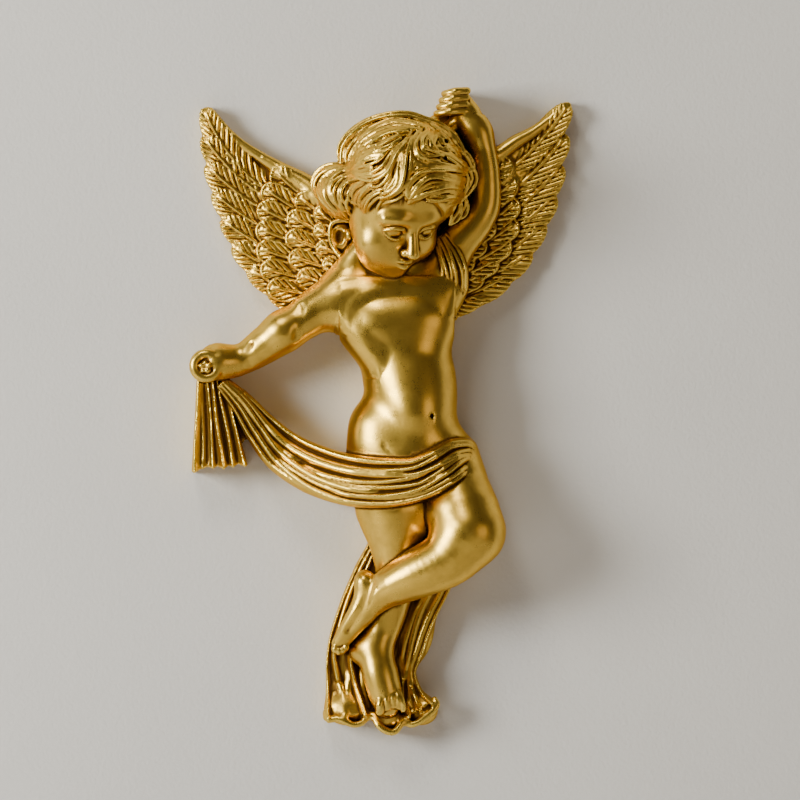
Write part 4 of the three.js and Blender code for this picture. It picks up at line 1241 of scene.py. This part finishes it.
@dataclass(frozen=True)
class Lock:
    """A lock of hair: its (right, up) line, its radius, its lift over the cap and its count of strands."""

    line: Sequence[Station]
    radius: float = 6.5
    lift: float = 0.0
    strands: int = 4


@dataclass
class Hair:
    """Hair in waves from a whorl above the brow, with a mass of curls over the near ear.

    Each lock is a bundle of strands over a core. They part at the root, run side by side over the lock's
    round top, and meet again at the tip. Small locks lie under the main ones. They start in the box from
    `under_low`, `under_size` wide and high, outside the brow's ellipse. Shares are of a lock's radius.
    """

    cap: Station = (58, 60, 57)
    cap_centre: Station = (10.75, 77.6, 91)
    mass: Station = (30, 32, 28)
    mass_centre: Station = (-48, 64, 77)
    under_locks: int = 105
    under_low: Station = (-66, 60)
    under_size: Station = (142, 104)
    brow_centre: Station = (19, 27)
    brow_size: Station = (50, 49)
    under_radius: Station = (4.2, 5.6)
    under_lift: Station = (-4, -1)
    comb_step: float = 4.2
    comb_soft: float = 20.0
    holes: Sequence[Station] = ((51, 127, 2.6), (50, 110, 1.8))
    main_lift: float = 1.5
    core_share: float = 0.74
    core_sink: float = 0.45
    strand_share: float = 1.10
    spread: float = 0.86
    fall: float = 14.0
    seed: int = 11
    locks: Sequence[Lock] = (
        # Over the top, from the whorl to the left
        Lock([(34, 146), (13, 151), (-10, 149), (-28, 143), (-43, 133), (-52, 121), (-54, 106)], 7),
        Lock([(27, 140), (2, 145), (-19, 138), (-35, 126), (-44, 113), (-46, 102)], 7, 2),
        Lock([(13, 137), (-4, 136), (-19, 130), (-30, 121), (-38, 108), (-42, 101)], 6, 3),
        Lock([(5, 131), (-10, 122), (-21, 117), (-33, 113), (-41, 102)], 6, 4),
        Lock([(-8, 118), (-18, 112), (-27, 109), (-37, 104), (-46, 96)], 6, 3),
        Lock([(20, 150), (40, 142), (56, 130), (66, 116)], 7),
        # The big curls on the left
        Lock([(-36, 102), (-54, 101), (-67, 98), (-75, 91), (-78, 82), (-74, 72), (-66, 63)], 6.5),
        Lock([(-22, 100), (-38, 99), (-54, 94), (-63, 86), (-65, 76), (-60, 66), (-50, 58),
              (-40, 53)], 6, 2),
        Lock([(-18, 92), (-32, 91), (-46, 88), (-54, 80), (-55, 70), (-48, 61), (-38, 56)], 6, 4),
        Lock([(-30, 87), (-40, 83), (-45, 75), (-42, 67), (-35, 63)], 5, 6),
        Lock([(-70, 90), (-72, 80), (-68, 70), (-60, 60), (-52, 53)], 5.5, 2, 3),
        Lock([(-20, 86), (-31, 79), (-38, 70), (-36, 60), (-28, 57)], 6, 4),
        Lock([(-34, 84), (-44, 76), (-49, 65), (-44, 54), (-36, 49)], 5.5, 4, 3),
        Lock([(-14, 76), (-24, 70), (-30, 61), (-30, 52), (-24, 48)], 5, 6, 3),
        # From the whorl down into the curls
        Lock([(11, 126), (0, 113), (-7, 99), (-21, 90), (-35, 91), (-44, 97)], 6.5, 5),
        Lock([(6, 122), (-3, 101), (-10, 90), (-19, 83), (-29, 83)], 6, 4),
        # The forelock, in an S
        Lock([(14, 129), (10, 113), (8, 95), (4, 83), (-5, 75), (-15, 70)], 7, 5),
        Lock([(4, 116), (2, 101), (1, 87), (-7, 78), (-17, 75)], 6, 4),
        Lock([(17, 131), (18, 118), (17, 101), (13, 87), (11, 72)], 6, 3),
        # The fan of short locks right of the whorl
        Lock([(25, 136), (20, 124), (22, 113), (32, 106), (45, 106)], 6, 4),
        Lock([(34, 137), (27, 129), (28, 119), (36, 115), (46, 113)], 5.5, 5),
        Lock([(42, 136), (36, 130), (36, 122), (43, 117)], 5, 5),
        # The fringe from the right
        Lock([(72, 97), (54, 99), (36, 99), (23, 97), (13, 87), (11, 75)], 6.5, 3),
        Lock([(70, 87), (54, 90), (36, 91), (25, 85), (17, 76), (13, 69)], 6, 3),
        Lock([(66, 79), (54, 82), (39, 80), (27, 75), (18, 69)], 5.5, 3),
        Lock([(66, 71), (54, 72), (42, 70), (31, 69)], 5, 2),
        # The far side, under the raised arm
        Lock([(45, 113), (59, 108), (69, 101), (75, 90), (70, 78), (64, 66)], 7),
        Lock([(50, 122), (63, 116), (72, 106), (77, 96)], 7),
        Lock([(31, 145), (42, 138), (54, 129), (64, 118), (70, 108)], 7, 1),
        Lock([(64, 70), (63, 60), (59, 51), (54, 44)], 4.5, -4, 3),
        Lock([(68, 74), (69, 64), (66, 55), (61, 49)], 4.5, -6, 3),
    )

    def cap_front(self, x: Array, z: Array) -> Array:
        """How far out the hair stands, by the cap or the mass over the ear, whichever is further.

        Each is centre + r sqrt(1 - x^2 - z^2), or falls away from its rim outside.

        Args:
            x: how far right.
            z: how far up.

        Returns:
            How far out.
        """
        fronts = []
        for (cx, cy, cz), (rx, ry, rz) in ((self.cap_centre, self.cap), (self.mass_centre, self.mass)):
            inside = 1 - ((x - cx) / rx) ** 2 - ((z - cz) / rz) ** 2
            fronts.append(cy + ry * np.sqrt(np.maximum(inside, 0)) - self.fall * np.maximum(-inside, 0))
        return meet(fronts[0], fronts[1], self.fall)

    def bundle(self, clay: Clay, lock: Lock, turn: float) -> None:
        """Presses one lock: a core, and strands spread over it, each with a small wave of its own.

        Args:
            clay: the lattice.
            lock: the lock.
            turn: where its waves start, in radians.
        """
        line = spline(np.array(lock.line, float), 3)
        t = np.linspace(0, 1, len(line))
        ahead = np.gradient(line, axis=0)
        ahead /= np.linalg.norm(ahead, axis=1)[:, None]
        across = np.column_stack([ahead[:, 1], -ahead[:, 0]])
        width = np.sin(math.pi * (0.12 + 0.84 * t)) ** 0.7
        core_out = self.cap_front(line[:, 0], line[:, 1]) + lock.lift - self.core_sink * lock.radius
        core = [(x, y, z, lock.radius * self.core_share * w) for (x, z), y, w in zip(line, core_out, width)]
        clay.press(Limb(core, spans=1), 0.5)
        spread = np.linspace(-1, 1, lock.strands)
        thick = self.strand_share * lock.radius / lock.strands
        for i, s in enumerate(spread):
            wave = 0.7 * np.sin(7 * t + turn + 2.1 * i)
            place = line + across * (s * self.spread * lock.radius * width + wave)[:, None]
            uneven = 1.2 * math.sin(turn + 3.7 * i)
            rise = lock.radius * width * (math.sqrt(1 - 0.7 * s * s) - 0.30) + uneven
            out = self.cap_front(place[:, 0], place[:, 1]) + lock.lift + rise
            radius = thick * (0.3 + 0.7 * width)
            clay.press(Limb([(x, y, z, r) for (x, z), y, r in zip(place, out, radius)], spans=1), 0.3)

    def combed(self, starts: Array) -> Array:
        """Short lines combed through points: each step follows the locks nearby, the nearest most.

        Args:
            starts: (right, up) of each line's middle.

        Returns:
            The lines, as an array of lines by places by (right, up).
        """
        lines = [spline(np.array(lock.line, float), 3) for lock in self.locks]
        at = np.vstack([line[:-1] for line in lines])
        way = np.vstack([np.diff(line, axis=0) for line in lines])
        way /= np.linalg.norm(way, axis=1)[:, None]

        def steps(places: Array, sign: int) -> list[Array]:
            """Four steps from the places, forward or back.

            Args:
                places: where each line has got to.
                sign: 1 forward and -1 back.

            Returns:
                The places after each step.
            """
            run = []
            for _ in range(4):
                gap = ((places[:, None, :] - at[None, :, :]) ** 2).sum(-1)
                mean = (way[None] / (gap[..., None] + self.comb_soft) ** 2).sum(1)
                mean /= np.linalg.norm(mean, axis=1)[:, None] + 1e-9
                places = places + sign * self.comb_step * mean
                run.append(places)
            return run

        return np.stack([*steps(starts, -1)[::-1], starts, *steps(starts, 1)], axis=1)

    def model(self) -> Clay:
        """The hair in clay: the cap, cut off at the hairline, small locks combed over it, the main locks.

        Returns:
            The lattice.
        """
        chance = np.random.default_rng(self.seed)
        clay = Clay((-110, 0, -10), (110, 160, 180))
        clay.press(Ball(self.cap_centre, self.cap))
        clay.press(Ball(self.mass_centre, self.mass), 10)
        clay.cut(Ball((19, 150, 27), (45, 95, 45)), 4)
        # The small locks start where the cap or the mass shows, and off the brow
        spot = chance.random((self.under_locks * 3, 2)) * self.under_size + self.under_low
        off = (spot - (self.cap_centre[0], self.cap_centre[2])) / (self.cap[0], self.cap[2])
        off_mass = (spot - (self.mass_centre[0], self.mass_centre[2])) / (self.mass[0], self.mass[2])
        over = np.minimum((off**2).sum(1), (off_mass**2).sum(1) + 0.2)
        brow = (((spot - self.brow_centre) / self.brow_size) ** 2).sum(1)
        spot = spot[(over < 0.95) & (brow > 1)][: self.under_locks]
        for line in self.combed(spot):
            radius = chance.uniform(*self.under_radius)
            lift = chance.uniform(*self.under_lift)
            self.bundle(clay, Lock(line[::2], radius, lift, 3), chance.uniform(0, 6))
        for lock in self.locks:
            raised = Lock(lock.line, lock.radius, lock.lift + self.main_lift, lock.strands)
            self.bundle(clay, raised, chance.uniform(0, 6))
        # Two deep holes in the curls of the fan
        for x, z, radius in self.holes:
            out = float(self.cap_front(np.array([x], float), np.array([z], float))[0])
            clay.cut(Ball((x, out + 5, z), (radius, 8, radius)), 1)
        return clay


class Value:
    """A socket of a shader that reads as a number in a formula."""

    def __init__(self, graph: "Graph", socket: bpy.types.NodeSocket) -> None:
        """Wraps a socket of a graph."""
        self.graph = graph
        self.socket = socket

    def maths(self, operation: str, *others: "Value | float") -> "Value":
        """A Math node over this value and others."""
        return self.graph.add("ShaderNodeMath", {"operation": operation}, dict(enumerate((self, *others))))

    def __add__(self, other: "Value | float") -> "Value":
        """The sum."""
        return self.maths("ADD", other)

    def __radd__(self, other: float) -> "Value":
        """The sum, with the number first."""
        return self.maths("ADD", other)

    def __sub__(self, other: "Value | float") -> "Value":
        """The difference."""
        return self.maths("SUBTRACT", other)

    def __rsub__(self, other: float) -> "Value":
        """The difference, with the number first."""
        return (self * -1) + other

    def __mul__(self, other: "Value | float") -> "Value":
        """The product."""
        return self.maths("MULTIPLY", other)

    def __rmul__(self, other: float) -> "Value":
        """The product, with the number first."""
        return self.maths("MULTIPLY", other)

    def clamp(self) -> "Value":
        """The value held between 0 and 1."""
        return self.maths("MINIMUM", 1.0).maths("MAXIMUM", 0.0)

    def step(self, low: float, high: float) -> "Value":
        """0 below low and 1 above high, eased between them.

        Args:
            low: where it leaves 0.
            high: where it reaches 1.

        Returns:
            The eased value.
        """
        settings = {"interpolation_type": "SMOOTHSTEP"}
        inputs = {"Value": self, "From Min": low, "From Max": high}
        return self.graph.add("ShaderNodeMapRange", settings, inputs)


class Graph:
    """A material's nodes."""

    def __init__(self, name: str) -> None:
        """Makes an empty material.

        Args:
            name: the material's name.
        """
        self.material = bpy.data.materials.new(name)
        self.material.use_nodes = True
        self.tree = self.material.node_tree
        self.tree.nodes.clear()

    def add(self, kind: str, settings: dict, inputs: dict, output: int | str = 0) -> Value:
        """Adds a node.

        Args:
            kind: the node's type.
            settings: its own properties.
            inputs: its sockets by name or number, each a Value or a constant.
            output: which of its outputs is wanted.

        Returns:
            That output.
        """
        node = self.tree.nodes.new(kind)
        for name, setting in settings.items():
            setattr(node, name, setting)
        for name, value in inputs.items():
            if isinstance(value, Value):
                self.tree.links.new(value.socket, node.inputs[name])
            else:
                node.inputs[name].default_value = value
        return Value(self, node.outputs[output])

    def attribute(self, name: str) -> Value:
        """A number kept on the mesh's points."""
        return self.add("ShaderNodeAttribute", {"attribute_name": name}, {}, "Fac")

    def place(self) -> Value:
        """Object coordinates."""
        return self.add("ShaderNodeTexCoord", {}, {}, "Object")

    def noise(self, place: Value, scale: float, detail: float = 2.0) -> Value:
        """Noise of a size, in waves to a metre."""
        return self.add("ShaderNodeTexNoise", {}, {"Vector": place, "Scale": scale, "Detail": detail})

    def mix(self, factor: "Value | float", a: "Value | tuple", b: "Value | tuple") -> Value:
        """Colour a where the factor is 0, b where it is 1."""
        inputs = {0: factor, 6: a, 7: b}
        return self.add("ShaderNodeMix", {"data_type": "RGBA"}, inputs, 2)

    def surface(self, shader: Value) -> bpy.types.Material:
        """Ends the material with a shader.

        Args:
            shader: the shader's output.

        Returns:
            The material.
        """
        node = self.tree.nodes.new("ShaderNodeOutputMaterial")
        self.tree.links.new(shader.socket, node.inputs["Surface"])
        return self.material


class Region(Enum):
    """The attributes on the figure's points."""

    GROOVE = "groove"
    HOLLOW = "hollow"
    BACK = "back"


@dataclass(frozen=True)
class GiltFinish:
    """Metallic gold paint over cast resin, with painted light in its colour: a painted highlight on the
    high places, partly the gold rubbed bright there, and painted shade in the low places, partly a dark
    antiquing wash, with a painted contact shadow along the wall.

    The groove and hollow measures are 0.5 on a flat face, more in a hollow and less on a ridge. Each pair
    below says where an effect starts and where it is full. Scales are waves to a metre. The edge colour
    is the gold's tint at a glancing angle, and bare resin shows through on the back.
    """

    gold: tuple = (0.77, 0.50, 0.088, 1)
    # The colour of the painted highlight on the ridges, and of the random bright flakes
    bright: tuple = (0.98, 0.75, 0.16, 1)
    # The colour of the painted shade in the grooves, and of the random darker mottling
    shade: tuple = (0.26, 0.115, 0.03, 1)
    edge: tuple = (1.0, 0.78, 0.42, 1)
    # The dark colour of the antiquing wash, and of the painted shade and painted shadow
    wash_and_shade: tuple = (0.070, 0.022, 0.006, 1)
    resin: tuple = (0.52, 0.40, 0.24, 1)
    flake_scale: float = 2600.0
    cloud_scale: float = 60.0
    mottle_scale: float = 220.0
    grain_scale: float = 900.0
    shaded: tuple = (0.51, 0.61)
    washed_and_shaded: tuple = (0.540, 0.64)
    washed_and_shaded_hollow: tuple = (0.66, 0.86)
    painted_shadow_by_wall: tuple = (-0.005, -0.0005)
    rubbed_and_highlit: tuple = (0.22, 0.48)
    mottled: tuple = (0.40, 0.80)
    flaked: tuple = (0.55, 0.75)
    worn: tuple = (0.25, 0.6)
    roughness: float = 0.31
    bump: float = 0.18
    bump_depth: float = 0.0002

    def material(self) -> bpy.types.Material:
        """The finish as a material.

        Returns:
            The material.
        """
        g = Graph("gilt_finish_and_painted_light")
        place = g.place()
        cloud = g.noise(place, self.cloud_scale)
        flake = g.noise(place, self.flake_scale, 1.0)
        mottle = g.noise(place, self.mottle_scale, 3.0)
        groove = g.attribute(Region.GROOVE.value) + (cloud - 0.5) * 0.04
        hollow = g.attribute(Region.HOLLOW.value)
        back = g.attribute(Region.BACK.value)
        # Painted shade: the shade colour is laid into the grooves, where shade falls, and the grooves are
        # made rougher
        low = groove.step(*self.shaded)
        # Painted shadow: the dark colour creeps up the sides near the wall, where the casting's contact
        # shadow falls
        painted_shadow_by_wall = g.add("ShaderNodeSeparateXYZ", {}, {0: place}, "Y").step(*self.painted_shadow_by_wall)
        # Wash and painted shade: the dark colour is partly a real antiquing wash in the grooves, and partly
        # painted shade in the grooves and in deep hollows such as between the legs
        deep_wash_and_shade = hollow.step(*self.washed_and_shaded_hollow)
        wash_and_shade = (groove.step(*self.washed_and_shaded) + deep_wash_and_shade * 0.6 + painted_shadow_by_wall * 0.5).clamp() * (1 - back)
        # Painted highlight: the bright colour on the ridges and high places, partly the gold rubbed bright
        # there, and the ridges are made smoother
        high = (1 - groove.step(*self.rubbed_and_highlit)) * 0.8
        colour = g.mix(mottle.step(*self.mottled) * 0.22, self.gold, self.shade)
        # The painted shade in the grooves, the painted highlight on the ridges, then the wash with its
        # painted shade and shadow
        colour = g.mix(low * 0.75, colour, self.shade)
        colour = g.mix(high, colour, self.bright)
        colour = g.mix(wash_and_shade * 0.86, colour, self.wash_and_shade)
        colour = g.mix(flake.step(*self.flaked) * 0.16, colour, self.bright)
        bare = back * cloud.step(*self.worn)
        colour = g.mix(bare, colour, self.resin)
        roughness = self.roughness - high * 0.07 + low * 0.12 + wash_and_shade * 0.35 + (flake - 0.5) * 0.12
        roughness = roughness + (cloud - 0.5) * 0.08 + bare * 0.3 + (mottle - 0.5) * 0.16
        metallic = 1 - bare
        height = g.noise(place, self.grain_scale) * 0.6 + mottle * 0.6
        inputs = {"Strength": self.bump, "Distance": self.bump_depth, "Height": height}
        normal = g.add("ShaderNodeBump", {}, inputs)
        shader = g.add(
            "ShaderNodeBsdfPrincipled",
            {},
            {"Base Color": colour, "Roughness": roughness, "Metallic": metallic, "Normal": normal,
             "Specular Tint": self.edge},
        )
        return g.surface(shader)


@dataclass
class Cherub:
    """The whole casting: every form joined, swept back to the wall, skinned and finished."""

    wings: Wings = field(default_factory=Wings)
    torso: Torso = field(default_factory=Torso)
    standing_leg: StandingLeg = field(default_factory=StandingLeg)
    crossed_leg: CrossedLeg = field(default_factory=CrossedLeg)
    raised_arm: RaisedArm = field(default_factory=RaisedArm)
    held_arm: HeldArm = field(default_factory=HeldArm)
    cloth: Cloth = field(default_factory=Cloth)
    face: Face = field(default_factory=Face)
    hair: Hair = field(default_factory=Hair)
    finish: GiltFinish = field(default_factory=GiltFinish)

    def model(self) -> Clay:
        """The figure in clay.

        Returns:
            The lattice that holds them all.
        """
        figure = Clay()
        for part, reach in (
            (self.wings, FILLET),
            (self.torso, FILLET),
            (self.standing_leg, FILLET),
            (self.crossed_leg, FILLET),
            (self.raised_arm, 6),
            (self.held_arm, 12),
            (self.cloth, 1),
            (self.face, 2),
            (self.hair, 0.8),
        ):
            figure.add(part.model(), reach)
            log.info("modelled the %s", type(part).__name__)
        return figure.sweep_back()

    def mesh(self, clay: Clay) -> bpy.types.Mesh:
        """The clay's skin as a mesh on the grid, thinned where it is flat.

        Args:
            clay: the figure in clay.

        Returns:
            The mesh.
        """
        places, squares = clay.skin()
        mesh = bpy.data.meshes.new("skin")
        mesh.from_pydata(places, [], squares)
        draft = bpy.data.objects.new("skin", mesh)
        bpy.context.collection.objects.link(draft)
        thin = draft.modifiers.new("thin", "DECIMATE")
        thin.ratio = min(MOST_TRIANGLES / (2 * len(squares)), 1)
        thin.use_collapse_triangulate = True
        graph = bpy.context.evaluated_depsgraph_get()
        thinned = bpy.data.meshes.new_from_object(draft.evaluated_get(graph))
        bpy.data.objects.remove(draft)
        bpy.data.meshes.remove(mesh)
        return thinned

    def build(self) -> bpy.types.Object:
        """The finished casting, in metres, with the attributes that its finish reads.

        Returns:
            The casting's object.
        """
        clay = self.model()
        mesh = self.mesh(clay)
        places = np.empty(len(mesh.vertices) * 3)
        mesh.vertices.foreach_get("co", places)
        places = places.reshape(-1, 3)
        places[places[:, 1] < NEAR_WALL, 1] = 0
        values = {
            Region.GROOVE: clay.read(clay.hollows(max(round(GROOVE_REACH / STEP), 1)), places),
            Region.HOLLOW: clay.read(clay.hollows(round(HOLLOW_REACH / STEP)), places),
            Region.BACK: (places[:, 1] <= 0).astype(float),
        }
        for region, value in values.items():
            attribute = mesh.attributes.new(region.value, "FLOAT", "POINT")
            attribute.data.foreach_set("value", value.astype(np.float32))
        metres = places * (ACROSS, -OUT, ACROSS)
        mesh.vertices.foreach_set("co", metres.ravel())
        mesh.shade_smooth()
        mesh.update()
        mesh.name = "gilt_cherub"
        piece = bpy.data.objects.new("gilt_cherub", mesh)
        bpy.context.collection.objects.link(piece)
        mesh.materials.clear()
        mesh.materials.append(self.finish.material())
        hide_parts("cherub")
        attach(piece, "root")
        log.info("gilt_cherub has %d triangles", len(mesh.polygons))
        return piece


@dataclass(frozen=True)
class PaleFinish:
    """Matt paint with a roller's stipple, clear from behind, so that the casting's back can be seen."""

    name: str
    colour: tuple
    stipple: float = 700.0
    relief: float = 0.25
    relief_depth: float = 0.0006
    roughness: float = 0.75
    cloud_scale: float = 9.0
    darker: float = 0.93

    def material(self) -> bpy.types.Material:
        """The finish as a material.

        Returns:
            The material.
        """
        g = Graph(self.name)
        place = g.place()
        cloud = g.noise(place, self.cloud_scale, 3.0)
        bumps = g.noise(place, self.stipple, 3.0)
        darker = tuple(self.darker * c for c in self.colour[:3]) + (1,)
        colour = g.mix(cloud.step(0.3, 0.7) * 0.5, self.colour, darker)
        inputs = {"Strength": self.relief, "Distance": self.relief_depth, "Height": bumps}
        normal = g.add("ShaderNodeBump", {}, inputs)
        inputs = {"Base Color": colour, "Roughness": self.roughness, "Normal": normal}
        paint = g.add("ShaderNodeBsdfPrincipled", {}, inputs)
        clear = g.add("ShaderNodeBsdfTransparent", {}, {})
        behind = g.add("ShaderNodeNewGeometry", {}, {}, "Backfacing")
        return g.surface(g.add("ShaderNodeMixShader", {}, {0: behind, 1: paint, 2: clear}))


@dataclass
class Room:
    """A pale wall at the casting's flat back, and a pale floor well below it.

    The wall stands 0.4 mm in front of the back's plane, so that no two faces lie in one.
    """

    gap: float = -0.0004
    half: float = 1.6
    floor: float = -0.62

    def plane(self, name: str, corners: Sequence[Station], finish: PaleFinish) -> None:
        """A flat backdrop, which faces the side from which its corners run anticlockwise.

        Args:
            name: the object's name.
            corners: its four corners.
            finish: its paint.
        """
        mesh = bpy.data.meshes.new(name)
        mesh.from_pydata(corners, [], [(0, 1, 2, 3)])
        mesh.materials.append(finish.material())
        piece = bpy.data.objects.new(name, mesh)
        bpy.context.collection.objects.link(piece)

    def build(self) -> None:
        """Makes the wall and the floor."""
        h, f = self.half, self.floor
        wall = [(-h, self.gap, f), (h, self.gap, f), (h, self.gap, h), (-h, self.gap, h)]
        self.plane("wall", wall, PaleFinish("wall_paint", (0.775, 0.765, 0.86, 1)))
        floor = [(-h, -h, f), (h, -h, f), (h, self.gap, f), (-h, self.gap, f)]
        self.plane("floor", floor, PaleFinish("floor_paint", (0.62, 0.60, 0.58, 1)))


@dataclass(frozen=True)
class Softbox:
    """A soft square light that points at the plaque."""

    name: str
    place: tuple
    size: float
    watts: float
    colour: tuple = (1.0, 1.0, 1.0)
    target: tuple = (0.0, 0.0, -0.04)

    def build(self) -> None:
        """Hangs the light, unseen by the camera."""
        light = bpy.data.lights.new(self.name, "AREA")
        light.size = self.size
        light.energy = self.watts
        light.color = self.colour
        lamp = bpy.data.objects.new(self.name, light)
        lamp.location = self.place
        aim = np.array(self.target) - np.array(self.place)
        lamp.rotation_euler = Vector(aim).to_track_quat("-Z", "Y").to_euler()
        lamp.visible_camera = False
        bpy.context.collection.objects.link(lamp)


@dataclass
class Studio:
    """The softboxes and the even light of the room."""

    boxes: Sequence[Softbox] = (
        Softbox("window", (-1.30, -0.90, 0.20), 0.6, 30.0, (1.0, 1.0, 0.82)),
        Softbox("upper_window", (-0.45, -1.0, 1.20), 0.5, 9.0, (1.0, 0.93, 0.68)),
        Softbox("fill", (1.3, -1.4, -0.1), 0.9, 3.0, (1.0, 0.76, 0.44)),
        Softbox("behind", (0.5, 1.3, 0.6), 1.0, 14.0),
    )
    room_light: float = 0.07
    room_colour: tuple = (1.0, 0.84, 0.60, 1)

    def build(self) -> None:
        """Lights the scene."""
        for box in self.boxes:
            box.build()
        world = bpy.data.worlds.new("room_light")
        world.use_nodes = True
        sky = world.node_tree.nodes["Background"]
        sky.inputs["Color"].default_value = self.room_colour
        sky.inputs["Strength"].default_value = self.room_light
        bpy.context.scene.world = world


@dataclass
class Viewpoint:
    """The camera: a long lens square to the wall, which frames 800 grid squares."""

    distance: float = 5.0
    centre: tuple = (5.0, -130.0)
    frame_squares: float = 800.0
    sensor: float = 36.0

    def build(self) -> None:
        """Sets up the camera."""
        camera = bpy.data.cameras.new("viewpoint")
        camera.sensor_width = self.sensor
        camera.lens = self.sensor * self.distance / (self.frame_squares * ACROSS)
        piece = bpy.data.objects.new("viewpoint", camera)
        piece.location = (self.centre[0] * ACROSS, -self.distance, self.centre[1] * ACROSS)
        piece.rotation_euler = (math.radians(90), 0, 0)
        bpy.context.collection.objects.link(piece)
        bpy.context.scene.camera = piece


def main() -> None:
    """Builds the view, the light, the room and the casting, and logs the casting's span."""
    Viewpoint().build()
    Studio().build()
    Room().build()
    log.info("the camera, lights and room are up")
    piece = Cherub().build()
    corners = np.array(piece.bound_box).round(4)
    log.info("%s spans %s to %s", piece.name, corners.min(0).tolist(), corners.max(0).tolist())


if __name__ == "__main__":
    logging.basicConfig(level=logging.INFO, format="%(message)s")
    main()
